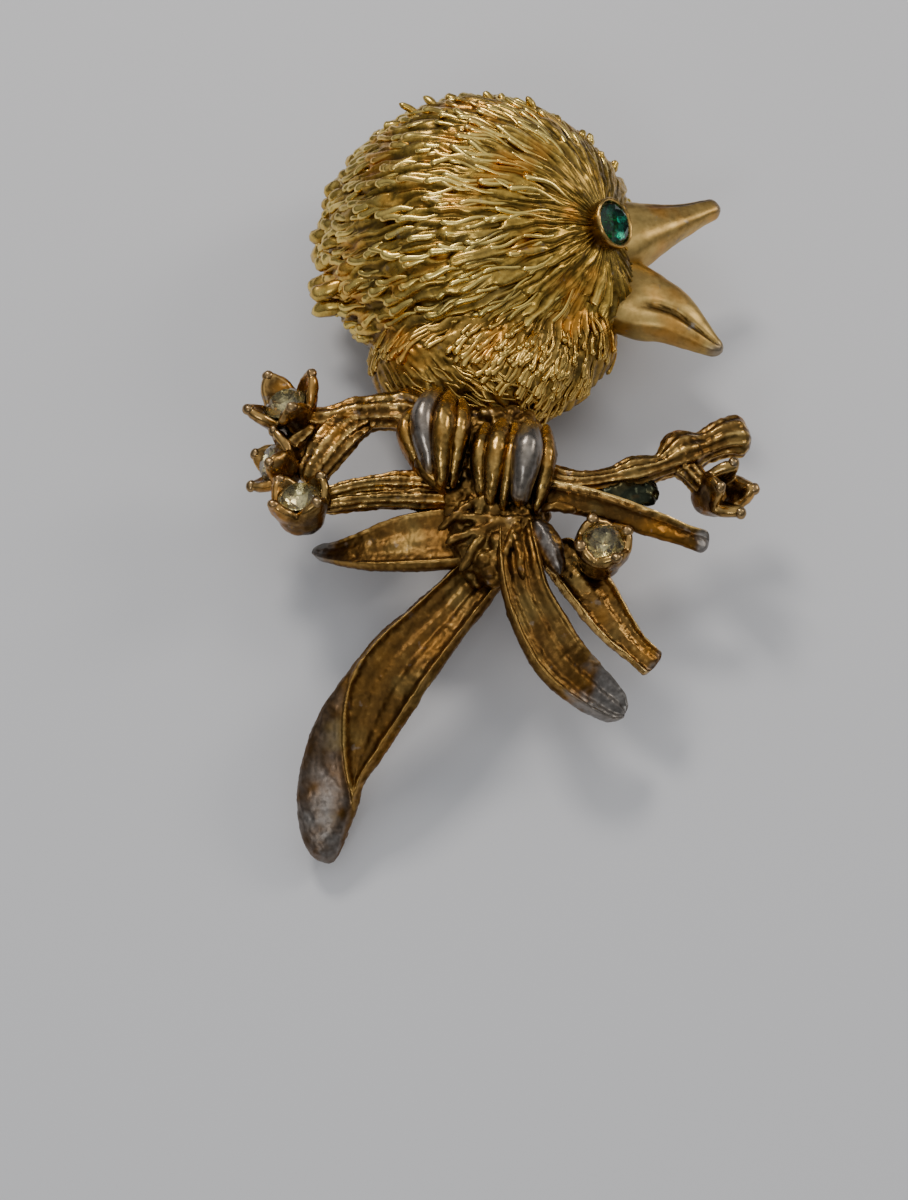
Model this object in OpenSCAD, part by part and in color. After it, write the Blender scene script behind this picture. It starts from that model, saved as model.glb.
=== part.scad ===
// Bird-on-a-branch brooch, lying on its back: X across, Y up the brooch, Z towards the viewer.
// The origin is the middle of the brooch's box on the surface that it lies on. Millimetres.

/* [Bird] */
// Radius of the domed head shell
head_r = 8.9; // [8.7:0.05:9.1]
// Wall thickness of the hollow head shell
shell_t = 1.1; // [0.9:0.1:1.3]
// Height of the castings' flat back rim above the resting surface
rim_z = 4.0; // [3.9:0.05:4.1]
// Radius of the eye's bezel
bezel_r = 1.4; // [1.3:0.05:1.45]

/* [Spray] */
// Width of the raised rim along a leaf's edge
leaf_rim = 0.35; // [0.25:0.05:0.45]
// Radius of the small round stones at the girdle
stone_r = 1.05; // [0.95:0.05:1.1]
// Prongs around each stone
prongs = 4; // [4:1:6]

/* [Pin back] */
// Radius of the pin stem's straight wire
stem_r = 0.4; // [0.35:0.05:0.4]
// Height of the pin stem's axis above the resting surface
stem_z = 1.3; // [1.3:0.05:1.35]
// Distance from the hinge to the middle of the catch
stem_span = 12.6; // [12.4:0.1:12.8]
// Thickness of the pin bar
bar_t = 0.6; // [0.5:0.05:0.6]
// Radius of the hinge rivet
rivet_r = 0.35; // [0.3:0.05:0.35]
// Radial clearance of the running fits
run_gap = 0.05; // [0.03:0.01:0.06]

/* [Hidden] */

head_c = [-1.1, 12.2, 3.6];
pin_y = 11.0;                     // line of the pin across the head's open back
hinge_x = 5.5;
catch_x = hinge_x - stem_span;
round_fn = 64;
limb_fn = 14;                     // cast limbs are hulls of these coarse spheres

// ---- shared shapes ----------------------------------------------------------------------

// One rounded lump of a cast limb: [x, y, z, half width, half depth]
module lump(s) translate([s[0], s[1], s[2]]) scale([s[3], s[3], s[4]]) sphere(1, $fn = limb_fn);

// A cast limb that runs through its lumps
module limb(lumps)
    for (i = [0 : len(lumps) - 2]) hull() {
        lump(lumps[i]);
        lump(lumps[i + 1]);
    }

// A leaf: a limb with a channel sunk along its face, where it is wide enough to hold one
module leaf(lumps) difference() {
    limb(lumps);
    limb([for (s = lumps) if (s[3] > 2.5 * leaf_rim)
        [s[0], s[1], s[2] + s[4], s[3] - leaf_rim, 0.8 * s[4]]]);
}

// Turns the local +Z towards dir and moves to at
module aim(at, dir)
    translate(at)
        rotate([0, acos(dir[2] / norm(dir)), atan2(dir[1], dir[0])])
            children();

// Round envelope of a set stone with its girdle at z = 0; the cut stone fits inside it
module stone_seat(r) {
    translate([0, 0, -0.7 * r]) cylinder(h = 0.6 * r, r1 = 0.2 * r, r2 = r, $fn = round_fn);
    translate([0, 0, -0.1 * r]) cylinder(h = 0.2 * r, r = r, $fn = round_fn);
    translate([0, 0, 0.1 * r]) cylinder(h = 0.35 * r, r1 = r, r2 = 0.6 * r, $fn = round_fn);
}

// The cut stone: pavilion, girdle, crown and table with flat facets
module cut_stone(r, sides) {
    translate([0, 0, -0.7 * r]) cylinder(h = 0.6 * r, r1 = 0.2 * r, r2 = r, $fn = sides);
    translate([0, 0, -0.1 * r]) cylinder(h = 0.2 * r, r = r, $fn = sides);
    translate([0, 0, 0.1 * r]) cylinder(h = 0.35 * r, r1 = r, r2 = 0.6 * r, $fn = sides);
}

// A flower-shaped cup that holds one stone between its prongs, girdle at z = 0
module prong_cup(depth, spread) difference() {
    union() {
        translate([0, 0, -depth])
            cylinder(h = depth + 0.1, r1 = 0.55 * stone_r, r2 = stone_r + 0.25, $fn = round_fn);
        for (a = [0 : 360 / prongs : 359]) rotate([0, 0, a + 45]) {
            translate([stone_r + 0.05, 0, -0.5]) rotate([0, spread, 0]) {
                cylinder(h = 1.1, r1 = 0.5, r2 = 0.3, $fn = 32);
                translate([0, 0, 1.1]) sphere(0.34, $fn = 32);
            }
        }
    }
    stone_seat(stone_r);
    translate([0, 0, 0.4 * stone_r]) cylinder(h = 3, r = 0.7 * stone_r, $fn = round_fn);
}

// ---- where the small settings stand: place, direction they face -------------------------

eye_out = [0.75, -0.234, 0.62];   // from the head's middle to the eye
eye_at = head_c + eye_out * (head_r / norm(eye_out));
eye_dir = [0.69, -0.19, 0.70];    // the bezel is turned a little to the front
eye_wall = 0.25;                  // from the bezel's outside to its stone
eye_set = 0.75;                   // how deep the bezel is let into the head

upper_left_at = [-10.8, 0.6, 7.0];
upper_left_dir = [-0.3, 0.3, 0.9];
outer_left_at = [-11.4, -2.2, 6.0];
outer_left_dir = [-0.85, 0.1, 0.5];
lower_left_at = [-9.9, -4.7, 6.9];
lower_left_dir = [-0.1, 0.4, 0.9];
right_at = [4.5, -7.3, 7.2];
right_dir = [0.05, 0.15, 0.98];
far_right_at = [10.7, -4.0, 6.3];
far_right_dir = [0.6, -0.2, 0.75];

// ---- cast limbs: lumps as [x, y, z, half width, half depth] -----------------------------

hub_lumps = [[-0.6, 0.6, 5.5, 2.4, 1.4], [-0.3, -3.4, 5.5, 2.5, 1.4], [-0.4, -6.4, 5.4, 2.3, 1.3],
    [-0.4, -8.6, 5.2, 1.4, 1.0]];
upper_left_lumps = [[-3.0, 0.7, 5.6, 1.0, 0.9], [-5.4, 0.8, 5.8, 0.9, 0.8],
    [-7.6, 0.4, 6.0, 0.9, 0.8], [-9.6, -0.1, 6.0, 0.8, 0.8]];
upper_left_fork = [[-7.8, 0.2, 6.0, 0.9, 0.7], [-8.8, -1.6, 6.1, 1.0, 0.6],
    [-9.7, -3.2, 5.9, 0.7, 0.6]];
lower_left_lumps = [[-2.2, -3.4, 5.6, 0.8, 0.8], [-5.2, -3.5, 5.8, 0.7, 0.7],
    [-7.4, -3.8, 5.9, 0.6, 0.6], [-8.9, -4.2, 5.8, 0.6, 0.6]];
right_twig_lumps = [[2.0, -3.0, 5.6, 0.9, 0.9], [4.9, -3.2, 5.8, 0.7, 0.8],
    [6.6, -2.9, 5.8, 0.9, 0.8], [8.0, -2.3, 5.9, 0.7, 0.7], [9.2, -1.7, 6.0, 1.0, 0.8],
    [10.6, -1.1, 6.0, 0.8, 0.8], [11.85, -0.8, 6.0, 0.95, 0.8]];
right_twig_fork = [[8.6, -2.1, 6.0, 0.7, 0.7], [9.6, -3.4, 5.9, 0.7, 0.7]];
left_leaf_lumps = [[-1.6, -5.9, 5.2, 1.5, 0.9], [-3.0, -6.1, 5.3, 1.6, 0.9], [-5.1, -6.2, 5.0, 1.5, 0.9],
    [-7.1, -6.3, 4.5, 0.9, 0.7], [-9.2, -5.9, 3.7, 0.5, 0.5]];
long_leaf_lumps = [[-0.9, -7.7, 5.1, 1.1, 0.9], [-3.4, -10.7, 5.2, 1.5, 0.9],
    [-4.9, -12.5, 5.1, 1.7, 0.9], [-6.1, -14.1, 4.6, 1.8, 0.9], [-7.2, -15.6, 3.9, 1.8, 0.9],
    [-8.0, -17.0, 3.1, 1.6, 0.9], [-8.4, -18.6, 2.2, 1.35, 0.9], [-8.5, -19.8, 1.17, 0.9, 1.2],
    [-8.4, -20.7, 0.9, 0.4, 0.6]];
centre_leaf_lumps = [[0.5, -6.6, 6.5, 0.9, 0.9], [0.9, -9.8, 6.5, 1.1, 0.8],
    [1.6, -11.4, 6.2, 1.2, 0.8], [2.5, -12.7, 5.6, 1.3, 0.8], [3.6, -13.5, 4.8, 1.2, 0.8],
    [4.8, -14.1, 3.9, 0.9, 0.7], [5.4, -14.4, 3.4, 0.6, 0.6]];
lower_right_lumps = [[2.2, -6.4, 5.2, 1.0, 0.8], [4.1, -9.0, 5.1, 1.15, 0.75],
    [5.2, -10.6, 4.7, 0.95, 0.65], [6.2, -11.6, 4.3, 0.7, 0.55], [6.7, -12.0, 4.1, 0.65, 0.5]];
right_leaf_lumps = [[2.0, -4.4, 6.0, 0.9, 0.7], [4.4, -4.7, 6.1, 0.9, 0.7],
    [6.9, -5.5, 5.8, 0.9, 0.7], [9.2, -6.1, 5.1, 0.7, 0.6]];
small_leaf_lumps = [[1.5, -6.0, 6.6, 0.6, 0.5], [2.1, -7.2, 6.7, 0.8, 0.5],
    [2.5, -8.3, 6.3, 0.5, 0.4]];

upper_beak_lumps = [[5.8, 11.9, 5.8, 1.9, 1.5], [7.4, 12.15, 5.9, 1.75, 1.4],
    [8.6, 12.6, 5.9, 1.35, 1.1], [9.7, 13.1, 5.8, 1.0, 0.85], [11.9, 14.2, 5.6, 0.5, 0.45]];
lower_beak_lumps = [[5.6, 8.4, 5.6, 2.1, 1.5], [7.6, 7.6, 5.6, 2.05, 1.25],
    [8.6, 7.1, 5.5, 1.6, 1.05], [10.0, 6.05, 5.3, 0.95, 0.75], [11.1, 5.2, 5.2, 0.45, 0.4]];

// The breast's round lobes as [x, y, z, radius]; the last one is the throat
breast_lobes = [[-3.3, 4.9, 4.0, 3.8], [-0.5, 4.2, 4.2, 4.1], [2.0, 4.8, 4.0, 3.7],
    [3.4, 6.2, 4.2, 3.0]];

// A toe curls over the branch: it starts at the top, bulges forward and tucks in below
function toe_lumps(x, top, bottom, w) = [[x - 0.2, top + 0.3, 7.0, 0.7 * w, 0.7],
    [x, (top + bottom) / 2, 7.7, w, 0.8], [x - 0.1, bottom, 6.3, 0.7 * w, 0.7]];

// ---- bird -------------------------------------------------------------------------------

// Everything below the castings' flat back
module below_rim() translate([-20, -20, rim_z - 15]) cube([40, 50, 15]);

module bird_head() color("goldenrod") difference() {
    translate(head_c) sphere(head_r, $fn = 96);
    translate(head_c) sphere(head_r - shell_t, $fn = 96);
    below_rim();
    aim(eye_at, eye_dir) translate([0, 0, -eye_set]) cylinder(h = 3, r = bezel_r, $fn = round_fn);
}

// Breast and belly: round lobes under the head, flat at the back
module bird_body() color("darkgoldenrod") difference() {
    for (b = breast_lobes) translate([b[0], b[1], b[2]]) sphere(b[3], $fn = 96);
    translate(head_c) sphere(head_r, $fn = 96);
    below_rim();
}

// One half of the wide open beak, seated against the head
module mandible(lumps) difference() {
    limb(lumps);
    translate(head_c) sphere(head_r, $fn = 96);
}

module upper_beak() color("gold") mandible(upper_beak_lumps);
module lower_beak() color("gold") mandible(lower_beak_lumps);

module left_foot() color("goldenrod")
    for (i = [0 : 2]) limb(toe_lumps(-4.1 + 0.9 * i, 0.3 - 0.2 * i, -3.2 - 0.3 * i, 0.65));

module right_foot() color("goldenrod")
    for (i = [0 : 2]) limb(toe_lumps(-1.1 + 1.0 * i, -0.9 - 0.3 * i, -4.6 - 0.1 * i, 0.5 + 0.12 * i));

module eye_bezel() color("gold") aim(eye_at, eye_dir) difference() {
    union() {
        translate([0, 0, -eye_set]) cylinder(h = eye_set + 0.2, r = bezel_r, $fn = round_fn);
        translate([0, 0, 0.2]) cylinder(h = 0.15, r1 = bezel_r, r2 = bezel_r - 0.15, $fn = round_fn);
    }
    translate([0, 0, 0.1]) stone_seat(bezel_r - eye_wall);
    translate([0, 0, 0.1]) cylinder(h = 2, r = bezel_r - eye_wall - 0.1, $fn = round_fn);
}

module eye_stone() color("seagreen")
    aim(eye_at, eye_dir) translate([0, 0, 0.1]) cut_stone(bezel_r - eye_wall, 8);

// ---- spray ------------------------------------------------------------------------------

module hub() color("peru") limb(hub_lumps);

module upper_left_twig() color("peru") {
    limb(upper_left_lumps);
    limb(upper_left_fork);
}

module lower_left_twig() color("peru") limb(lower_left_lumps);

module right_twig() color("peru") {
    limb(right_twig_lumps);
    limb(right_twig_fork);
}

module left_leaf() color("darkgoldenrod") leaf(left_leaf_lumps);
module long_leaf() color("darkgoldenrod") leaf(long_leaf_lumps);
module centre_leaf() color("darkgoldenrod") leaf(centre_leaf_lumps);
module lower_right_leaf() color("darkgoldenrod") leaf(lower_right_lumps);
module right_leaf() color("darkgoldenrod") leaf(right_leaf_lumps);
module small_leaf() color("silver") limb(small_leaf_lumps);

module cup_upper_left() color("goldenrod") aim(upper_left_at, upper_left_dir) prong_cup(1.5, 14);
module cup_outer_left() color("goldenrod") aim(outer_left_at, outer_left_dir) prong_cup(1.5, 8);
module cup_lower_left() color("goldenrod") aim(lower_left_at, lower_left_dir) prong_cup(1.5, 10);
module cup_right() color("goldenrod") aim(right_at, right_dir) prong_cup(2.2, 4);
module cup_far_right() color("goldenrod") aim(far_right_at, far_right_dir) prong_cup(1.5, 12);

module stone_upper_left() color("lightyellow") aim(upper_left_at, upper_left_dir) cut_stone(stone_r, 8);
module stone_outer_left() color("lightyellow") aim(outer_left_at, outer_left_dir) cut_stone(stone_r, 8);
module stone_lower_left() color("lightyellow") aim(lower_left_at, lower_left_dir) cut_stone(stone_r, 8);
module stone_right() color("white") aim(right_at, right_dir) cut_stone(stone_r, 8);

// ---- pin back: bar across the head's open back, hinged stem and turning catch ------------

bar_w = 3.0;
bar_end = 1.9;                    // bar past the hinge and past the catch
ear_r = stem_z;                   // the ears reach down to the resting surface
ear_t = 0.5;
eye_len = 1.2;                    // width of the stem's rolled eye between the ears
ear_gap = eye_len + 0.1;
eye_r = 0.85;
house_r = 1.3;
house_len = 2.0;
rotor_r = 0.86;
rotor_len = 1.1;
rotor_bore_r = 0.48;
mouth_w = 0.9;                    // slot the stem passes through on its way out
lever_a = 58;                     // lever's angle from straight down, catch unlocked
lever_reach = 1.7;
catch_turn_a = 90;

// A cylinder of length len along Y, centred on the hinge
module cross_pin(len, r) translate([hinge_x, pin_y, stem_z])
    rotate([90, 0, 0]) cylinder(h = len, r = r, center = true, $fn = round_fn);

// Local +Z along the pin line, local +X straight down: used by everything round in the catch
module on_catch() translate([catch_x, pin_y, stem_z]) rotate([0, 90, 0]) children();

module pin_bar() color("darkgoldenrod") difference() {
    union() {
        translate([0, 0, rim_z - bar_t]) linear_extrude(bar_t)
            intersection() {
                translate([catch_x - bar_end, pin_y - bar_w / 2])
                    square([stem_span + 2 * bar_end - 0.5, bar_w]);
                translate([head_c[0], head_c[1]]) circle(head_r - 0.3, $fn = round_fn);
            }
        for (side = [-1, 1])
            translate([hinge_x, pin_y + side * (ear_gap + ear_t) / 2, 0]) {
                translate([0, 0, stem_z]) rotate([90, 0, 0])
                    cylinder(h = ear_t, r = ear_r, center = true, $fn = round_fn);
                translate([-ear_r, -ear_t / 2, stem_z])
                    cube([2 * ear_r, ear_t, rim_z - bar_t / 2 - stem_z]);
            }
    }
    cross_pin(ear_gap + 2 * ear_t + 1, rivet_r);
}

module hinge_rivet() color("goldenrod") {
    cross_pin(ear_gap + 2 * ear_t + 0.2, rivet_r);
    for (side = [-1, 1])
        translate([0, side * (ear_gap / 2 + ear_t + 0.15), 0]) cross_pin(0.3, rivet_r + 0.25);
}

straight_from = 1.35;             // stem's straight wire, measured from the hinge
straight_to = 11.1;
stem_tip = 14.5;

module pin_stem() color("silver") difference() {
    union() {
        cross_pin(eye_len, eye_r);
        translate([hinge_x, pin_y, stem_z]) rotate([0, -90, 0]) {
            cylinder(h = straight_from, r1 = 0.6, r2 = stem_r, $fn = round_fn);
            translate([0, 0, straight_from])
                cylinder(h = straight_to - straight_from, r = stem_r, $fn = round_fn);
            translate([0, 0, straight_to])
                cylinder(h = stem_tip - straight_to, r1 = stem_r, r2 = 0.06, $fn = round_fn);
        }
    }
    cross_pin(eye_len + 1, rivet_r + run_gap);
}

module catch_body() color("darkgoldenrod") difference() {
    union() {
        on_catch() cylinder(h = house_len, r = house_r, center = true, $fn = round_fn);
        translate([catch_x - house_len / 2, pin_y - 0.8, stem_z + 1.0])
            cube([house_len, 1.6, rim_z - bar_t - stem_z - 1.0]);
    }
    on_catch() cylinder(h = rotor_len + 0.1, r = rotor_r + run_gap, center = true, $fn = round_fn);
    on_catch() cylinder(h = house_len + 1, r = 0.5, center = true, $fn = round_fn);
    translate([catch_x - house_len, pin_y - mouth_w / 2, stem_z - 3])
        cube([2 * house_len, mouth_w, 3]);
    // Window that the rotor's lever swings through
    on_catch() rotate([0, 0, lever_a - 22])
        rotate_extrude(angle = catch_turn_a + 44, $fn = round_fn)
            translate([rotor_r - 0.1, -(rotor_len + 0.1) / 2])
                square([1.0, rotor_len + 0.1]);
}

module catch_rotor() color("goldenrod") difference() {
    union() {
        on_catch() cylinder(h = rotor_len, r = rotor_r, center = true, $fn = round_fn);
        on_catch() rotate([0, 0, lever_a])
            translate([0, -0.2, -0.35]) cube([lever_reach, 0.4, 0.7]);
    }
    on_catch() cylinder(h = rotor_len + 1, r = rotor_bore_r, center = true, $fn = round_fn);
    translate([catch_x - rotor_len, pin_y - 0.4, stem_z - 3]) cube([2 * rotor_len, 0.8, 3]);
}

// ---- nodes ------------------------------------------------------------------------------

bird_head();
bird_body();
upper_beak();
lower_beak();
left_foot();
right_foot();
eye_bezel();
eye_stone();
hub();
upper_left_twig();
lower_left_twig();
right_twig();
left_leaf();
long_leaf();
centre_leaf();
lower_right_leaf();
right_leaf();
small_leaf();
cup_upper_left();
cup_outer_left();
cup_lower_left();
cup_right();
cup_far_right();
stone_upper_left();
stone_outer_left();
stone_lower_left();
stone_right();
pin_bar();
pin_stem();
hinge_rivet();
catch_body();
catch_rotor();
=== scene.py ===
# Looks of the bird brooch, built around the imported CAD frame. Lengths below are in millimetres.

import math

import bpy
import numpy as np
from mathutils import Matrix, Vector


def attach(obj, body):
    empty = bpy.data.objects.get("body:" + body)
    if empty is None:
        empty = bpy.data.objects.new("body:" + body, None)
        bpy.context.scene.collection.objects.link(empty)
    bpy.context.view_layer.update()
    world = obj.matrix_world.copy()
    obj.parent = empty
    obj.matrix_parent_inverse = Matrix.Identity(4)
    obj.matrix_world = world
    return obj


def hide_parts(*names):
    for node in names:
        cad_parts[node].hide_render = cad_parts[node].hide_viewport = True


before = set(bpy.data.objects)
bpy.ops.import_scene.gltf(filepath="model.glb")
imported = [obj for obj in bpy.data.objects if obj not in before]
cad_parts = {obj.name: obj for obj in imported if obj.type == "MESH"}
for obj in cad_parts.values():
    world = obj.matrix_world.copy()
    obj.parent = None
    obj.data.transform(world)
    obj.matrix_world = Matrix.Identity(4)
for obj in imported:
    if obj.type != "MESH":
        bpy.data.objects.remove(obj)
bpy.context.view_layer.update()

MM = 0.001
TAU = 2 * math.pi
rng = np.random.default_rng(7)


# ---- camera, floor and light ----

LOOK_AT = np.array([-2.5, -6.7, 0.0])
CAMERA_DISTANCE = 79.5
CAMERA_ELEVATION = math.radians(63)
LENS = 46.65                       # on a 36 mm sensor
FLOOR_HALF = 2000
FLOOR_COLOUR = (0.74, 0.73, 0.745, 1)
ROOM_STRENGTH = 0.8
ROOM_LEVELS = ((0.05, 0.12), (0.6, 0.42), (1.0, 1.0))    # place from low to high, brightness
LAMPS = (                          # name, place, target, size, watts and colour
    ("key", (-50, 90, 130), (0, 2, 5), (34, 34), 0.085, (1.0, 0.97, 0.92)),
    ("side", (110, 40, 90), (0, 2, 5), (40, 40), 0.035, (1.0, 0.96, 0.90)),
    ("front", (-40, -120, 110), (0, 0, 4), (40, 30), 0.03, (0.90, 0.95, 1.0)),
)


def add_object(name, data):
    made = bpy.data.objects.new(name, data)
    bpy.context.scene.collection.objects.link(made)
    return made


def add_camera():
    data = bpy.data.cameras.new("camera")
    data.lens = LENS
    data.clip_start = MM
    camera = add_object("camera", data)
    away = Vector((0, -math.cos(CAMERA_ELEVATION), math.sin(CAMERA_ELEVATION)))
    camera.location = (Vector(LOOK_AT) + away * CAMERA_DISTANCE) * MM
    camera.rotation_euler = (-away).to_track_quat("-Z", "Y").to_euler()
    bpy.context.scene.camera = camera


def add_area(name, place, target, size, power, colour):
    data = bpy.data.lights.new(name, "AREA")
    data.shape = "RECTANGLE"
    data.size, data.size_y = size[0] * MM, size[1] * MM
    data.energy = power
    data.color = colour
    lamp = add_object(name, data)
    lamp.location = Vector(place) * MM
    lamp.rotation_euler = (Vector(target) - Vector(place)).to_track_quat("-Z", "Y").to_euler()


def add_light():
    """A dim room with a bright ceiling, and three soft lamps."""
    world = bpy.data.worlds.new("studio")
    bpy.context.scene.world = world
    world.use_nodes = True
    nodes, links = world.node_tree.nodes, world.node_tree.links
    split = nodes.new("ShaderNodeSeparateXYZ")
    ramp = nodes.new("ShaderNodeValToRGB")
    links.new(nodes.new("ShaderNodeTexCoord").outputs["Generated"], split.inputs[0])
    links.new(split.outputs["Z"], ramp.inputs["Fac"])
    links.new(ramp.outputs["Color"], nodes["Background"].inputs["Color"])
    nodes["Background"].inputs["Strength"].default_value = ROOM_STRENGTH
    ramp.color_ramp.elements.new(ROOM_LEVELS[1][0])
    for element, (place, level) in zip(ramp.color_ramp.elements, ROOM_LEVELS):
        element.position = place
        element.color = (0.94 * level, 0.97 * level, level, 1)
    for lamp in LAMPS:
        add_area(*lamp)


def add_floor():
    half = FLOOR_HALF * MM
    mesh = bpy.data.meshes.new("floor")
    mesh.from_pydata([(-half, -half, 0), (half, -half, 0), (half, half, 0), (-half, half, 0)],
                     [], [(0, 1, 2, 3)])
    floor = add_object("floor", mesh)
    material = bpy.data.materials.new("floor")
    material.use_nodes = True
    surface = material.node_tree.nodes["Principled BSDF"]
    surface.inputs["Base Color"].default_value = FLOOR_COLOUR
    surface.inputs["Roughness"].default_value = 0.9
    mesh.materials.append(material)


# ---- smooth noise ----

LATTICE = 64
NOISE_GAIN = 1.6                   # brings the noise to about -1 to 1
gradients = rng.normal(size=(LATTICE, LATTICE, LATTICE, 3))
gradients /= np.linalg.norm(gradients, axis=-1, keepdims=True)


def noise(points):
    """Gradient noise from about -1 to 1 at each point, one lattice cell per unit."""
    points = np.asarray(points, float)
    cell = np.floor(points).astype(int)
    inside = points - cell
    ease = inside * inside * (3 - 2 * inside)
    total = 0.0
    for corner in np.ndindex(2, 2, 2):
        at = (cell + corner) % LATTICE
        slope = gradients[at[..., 0], at[..., 1], at[..., 2]]
        weight = np.prod(np.where(corner, ease, 1 - ease), axis=-1)
        total = total + weight * np.sum(slope * (inside - corner), axis=-1)
    return NOISE_GAIN * total


def rough_noise(points, size, octaves=3):
    """Sum of noises with features of the given size in millimetres, then half of it, and so on."""
    total = 0.0
    for octave in range(octaves):
        total = total + noise(points * (2 ** octave / size) + 7.3 * octave) / 2 ** octave
    return total


def smoothstep(low, high, x):
    t = np.clip((x - low) / (high - low), 0, 1)
    return t * t * (3 - 2 * t)


def bell(x, middle, width):
    """1 at the middle, falling to nearly 0 at twice the width away from it."""
    return np.exp(-((x - middle) / width) ** 2)


def unit(vectors):
    vectors = np.asarray(vectors, float)
    return vectors / np.maximum(np.linalg.norm(vectors, axis=-1, keepdims=True), 1e-12)


def circle(sides):
    """Angles evenly spaced once round, as one row."""
    return np.linspace(0, TAU, sides, endpoint=False)[None, :]


# ---- meshes from grids of points ----


def grid_faces(rings, sides):
    """Quads between rings of points that each close on themselves."""
    i, j = np.meshgrid(np.arange(rings - 1), np.arange(sides), indexing="ij")
    k = (j + 1) % sides
    quads = np.stack([i * sides + j, i * sides + k, (i + 1) * sides + k, (i + 1) * sides + j], -1)
    return quads.reshape(-1, 4).tolist()


class Shape:
    """Points, faces and per-point values of one piece, gathered from several closed grids."""

    def __init__(self):
        self.points, self.faces, self.relief, self.wear_and_reflection = [], [], [], []
        self.count = 0

    def add(self, points, faces, relief, wear_and_reflection):
        points = np.asarray(points, float).reshape(-1, 3)
        self.faces += [[v + self.count for v in f] for f in faces]
        self.points.append(points)
        self.relief.append(np.broadcast_to(relief, len(points)).astype(float))
        self.wear_and_reflection.append(np.broadcast_to(wear_and_reflection, len(points)).astype(float))
        self.count += len(points)

    def add_rings(self, rings, relief=0.5, wear_and_reflection=0.0):
        """A closed tube of rings [ring, side, xyz] whose two ends are closed to a point, with
        values that are cut off below 0 and above 1. It returns the shape itself."""
        count, sides = rings.shape[:2]
        relief = np.clip(np.broadcast_to(relief, (count, sides)), 0, 1)
        wear_and_reflection = np.clip(np.broadcast_to(wear_and_reflection, (count, sides)), 0, 1)
        ends = np.stack([rings[0].mean(axis=0), rings[-1].mean(axis=0)])
        faces = grid_faces(count, sides)
        last = count * sides
        around = [(j, (j + 1) % sides) for j in range(sides)]
        faces += [[last, k, j] for j, k in around]
        faces += [[last + 1, last - sides + j, last - sides + k] for j, k in around]
        self.add(np.concatenate([rings.reshape(-1, 3), ends]), faces,
                 np.concatenate([relief.ravel(), [relief[0].mean(), relief[-1].mean()]]),
                 np.concatenate([wear_and_reflection.ravel(), [wear_and_reflection[0].mean(), wear_and_reflection[-1].mean()]]))
        return self


def grid_normals(rings):
    """Outward normals of a closed tube of rings."""
    along = np.gradient(rings, axis=0)
    around = np.roll(rings, -1, axis=1) - np.roll(rings, 1, axis=1)
    return unit(np.cross(around, along))


def dress(mesh, material, relief, wear_and_reflection, smooth=True):
    """Gives a mesh its material and the per-point values that the material reads."""
    for key, values in (("relief", relief), ("wear_and_reflection", wear_and_reflection)):
        if key in mesh.attributes:
            mesh.attributes.remove(mesh.attributes[key])
        mesh.attributes.new(key, "FLOAT", "POINT").data.foreach_set("value", values)
    mesh.polygons.foreach_set("use_smooth", [smooth] * len(mesh.polygons))
    if not mesh.materials:
        mesh.materials.append(material)


def make_piece(name, shape, material, nodes, slot, body="root", smooth=True):
    mesh = bpy.data.meshes.new(name)
    mesh.from_pydata((np.concatenate(shape.points) * MM).tolist(), [], shape.faces)
    dress(mesh, material, np.concatenate(shape.relief), np.concatenate(shape.wear_and_reflection), smooth)
    piece = add_object(name, mesh)
    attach(piece, body)
    if nodes:
        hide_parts(*nodes)
    return piece


def smooth_run(stations, count):
    """Values along a smooth curve through the stations, evenly spaced along it."""
    stations = np.array(stations, float)
    chord = np.linalg.norm(np.diff(stations[:, :3], axis=0), axis=1)
    at = np.concatenate([[0], np.cumsum(chord)])
    slope = np.gradient(stations, at, axis=0)
    t = np.linspace(0, at[-1], count)
    i = np.clip(np.searchsorted(at, t, "right") - 1, 0, len(at) - 2)
    step = (at[i + 1] - at[i])[:, None]
    x = (t[:, None] - at[i][:, None]) / step
    return ((1 + 2 * x) * (1 - x) ** 2 * stations[i] + x * (1 - x) ** 2 * step * slope[i]
            + x * x * (3 - 2 * x) * stations[i + 1] + x * x * (x - 1) * step * slope[i + 1])


def oval(angle, along):
    """A plain limb's cross-section: places across it and up it, in half widths and depths."""
    return np.cos(angle), np.sin(angle)


def sweep(stations, count, sides, section=oval, end=(0.6, 0.6), roll=0.0):
    """Rings along a limb. Each station is [x, y, z, half width, half depth]; section gives the
    outline in those units, the ends round off over the given lengths and roll turns the outline.
    It returns the rings and each point's place along the limb, from 0 to 1."""
    run = smooth_run(stations, count)
    centre, width, depth = run[:, :3], run[:, 3], run[:, 4]
    length = np.concatenate([[0], np.cumsum(np.linalg.norm(np.diff(centre, axis=0), axis=1))])
    near = np.clip(np.minimum(length / end[0], (length[-1] - length) / end[1]), 0, 1)
    round_off = np.sqrt(np.clip(1 - (1 - near) ** 2, 0.0004, 1))
    heading = unit(np.gradient(centre, axis=0))
    side = unit(np.cross(heading, [0, 0, 1]))
    up = np.cross(side, heading)
    level, tilt = math.cos(roll), math.sin(roll)
    side, up = side * level + up * tilt, up * level - side * tilt
    angle = circle(sides)
    along = (length / length[-1])[:, None] + 0 * angle
    a, b = section(angle + 0 * along, along)
    a = a * (width * round_off)[:, None]
    b = b * (depth * round_off)[:, None]
    rings = centre[:, None] + side[:, None] * a[..., None] + up[:, None] * b[..., None]
    return rings, along


def roughen(rings, *layers):
    """Pushes the rings in and out by layers of noise, each an amount, a size and a count of
    octaves. It returns the rings and each noise that was used."""
    used = []
    for amount, size, octaves in layers:
        bumps = rough_noise(rings, size, octaves)
        rings = rings + grid_normals(rings) * (amount * bumps)[..., None]
        used.append(bumps)
    return rings, *used


# ---- materials ----


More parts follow.
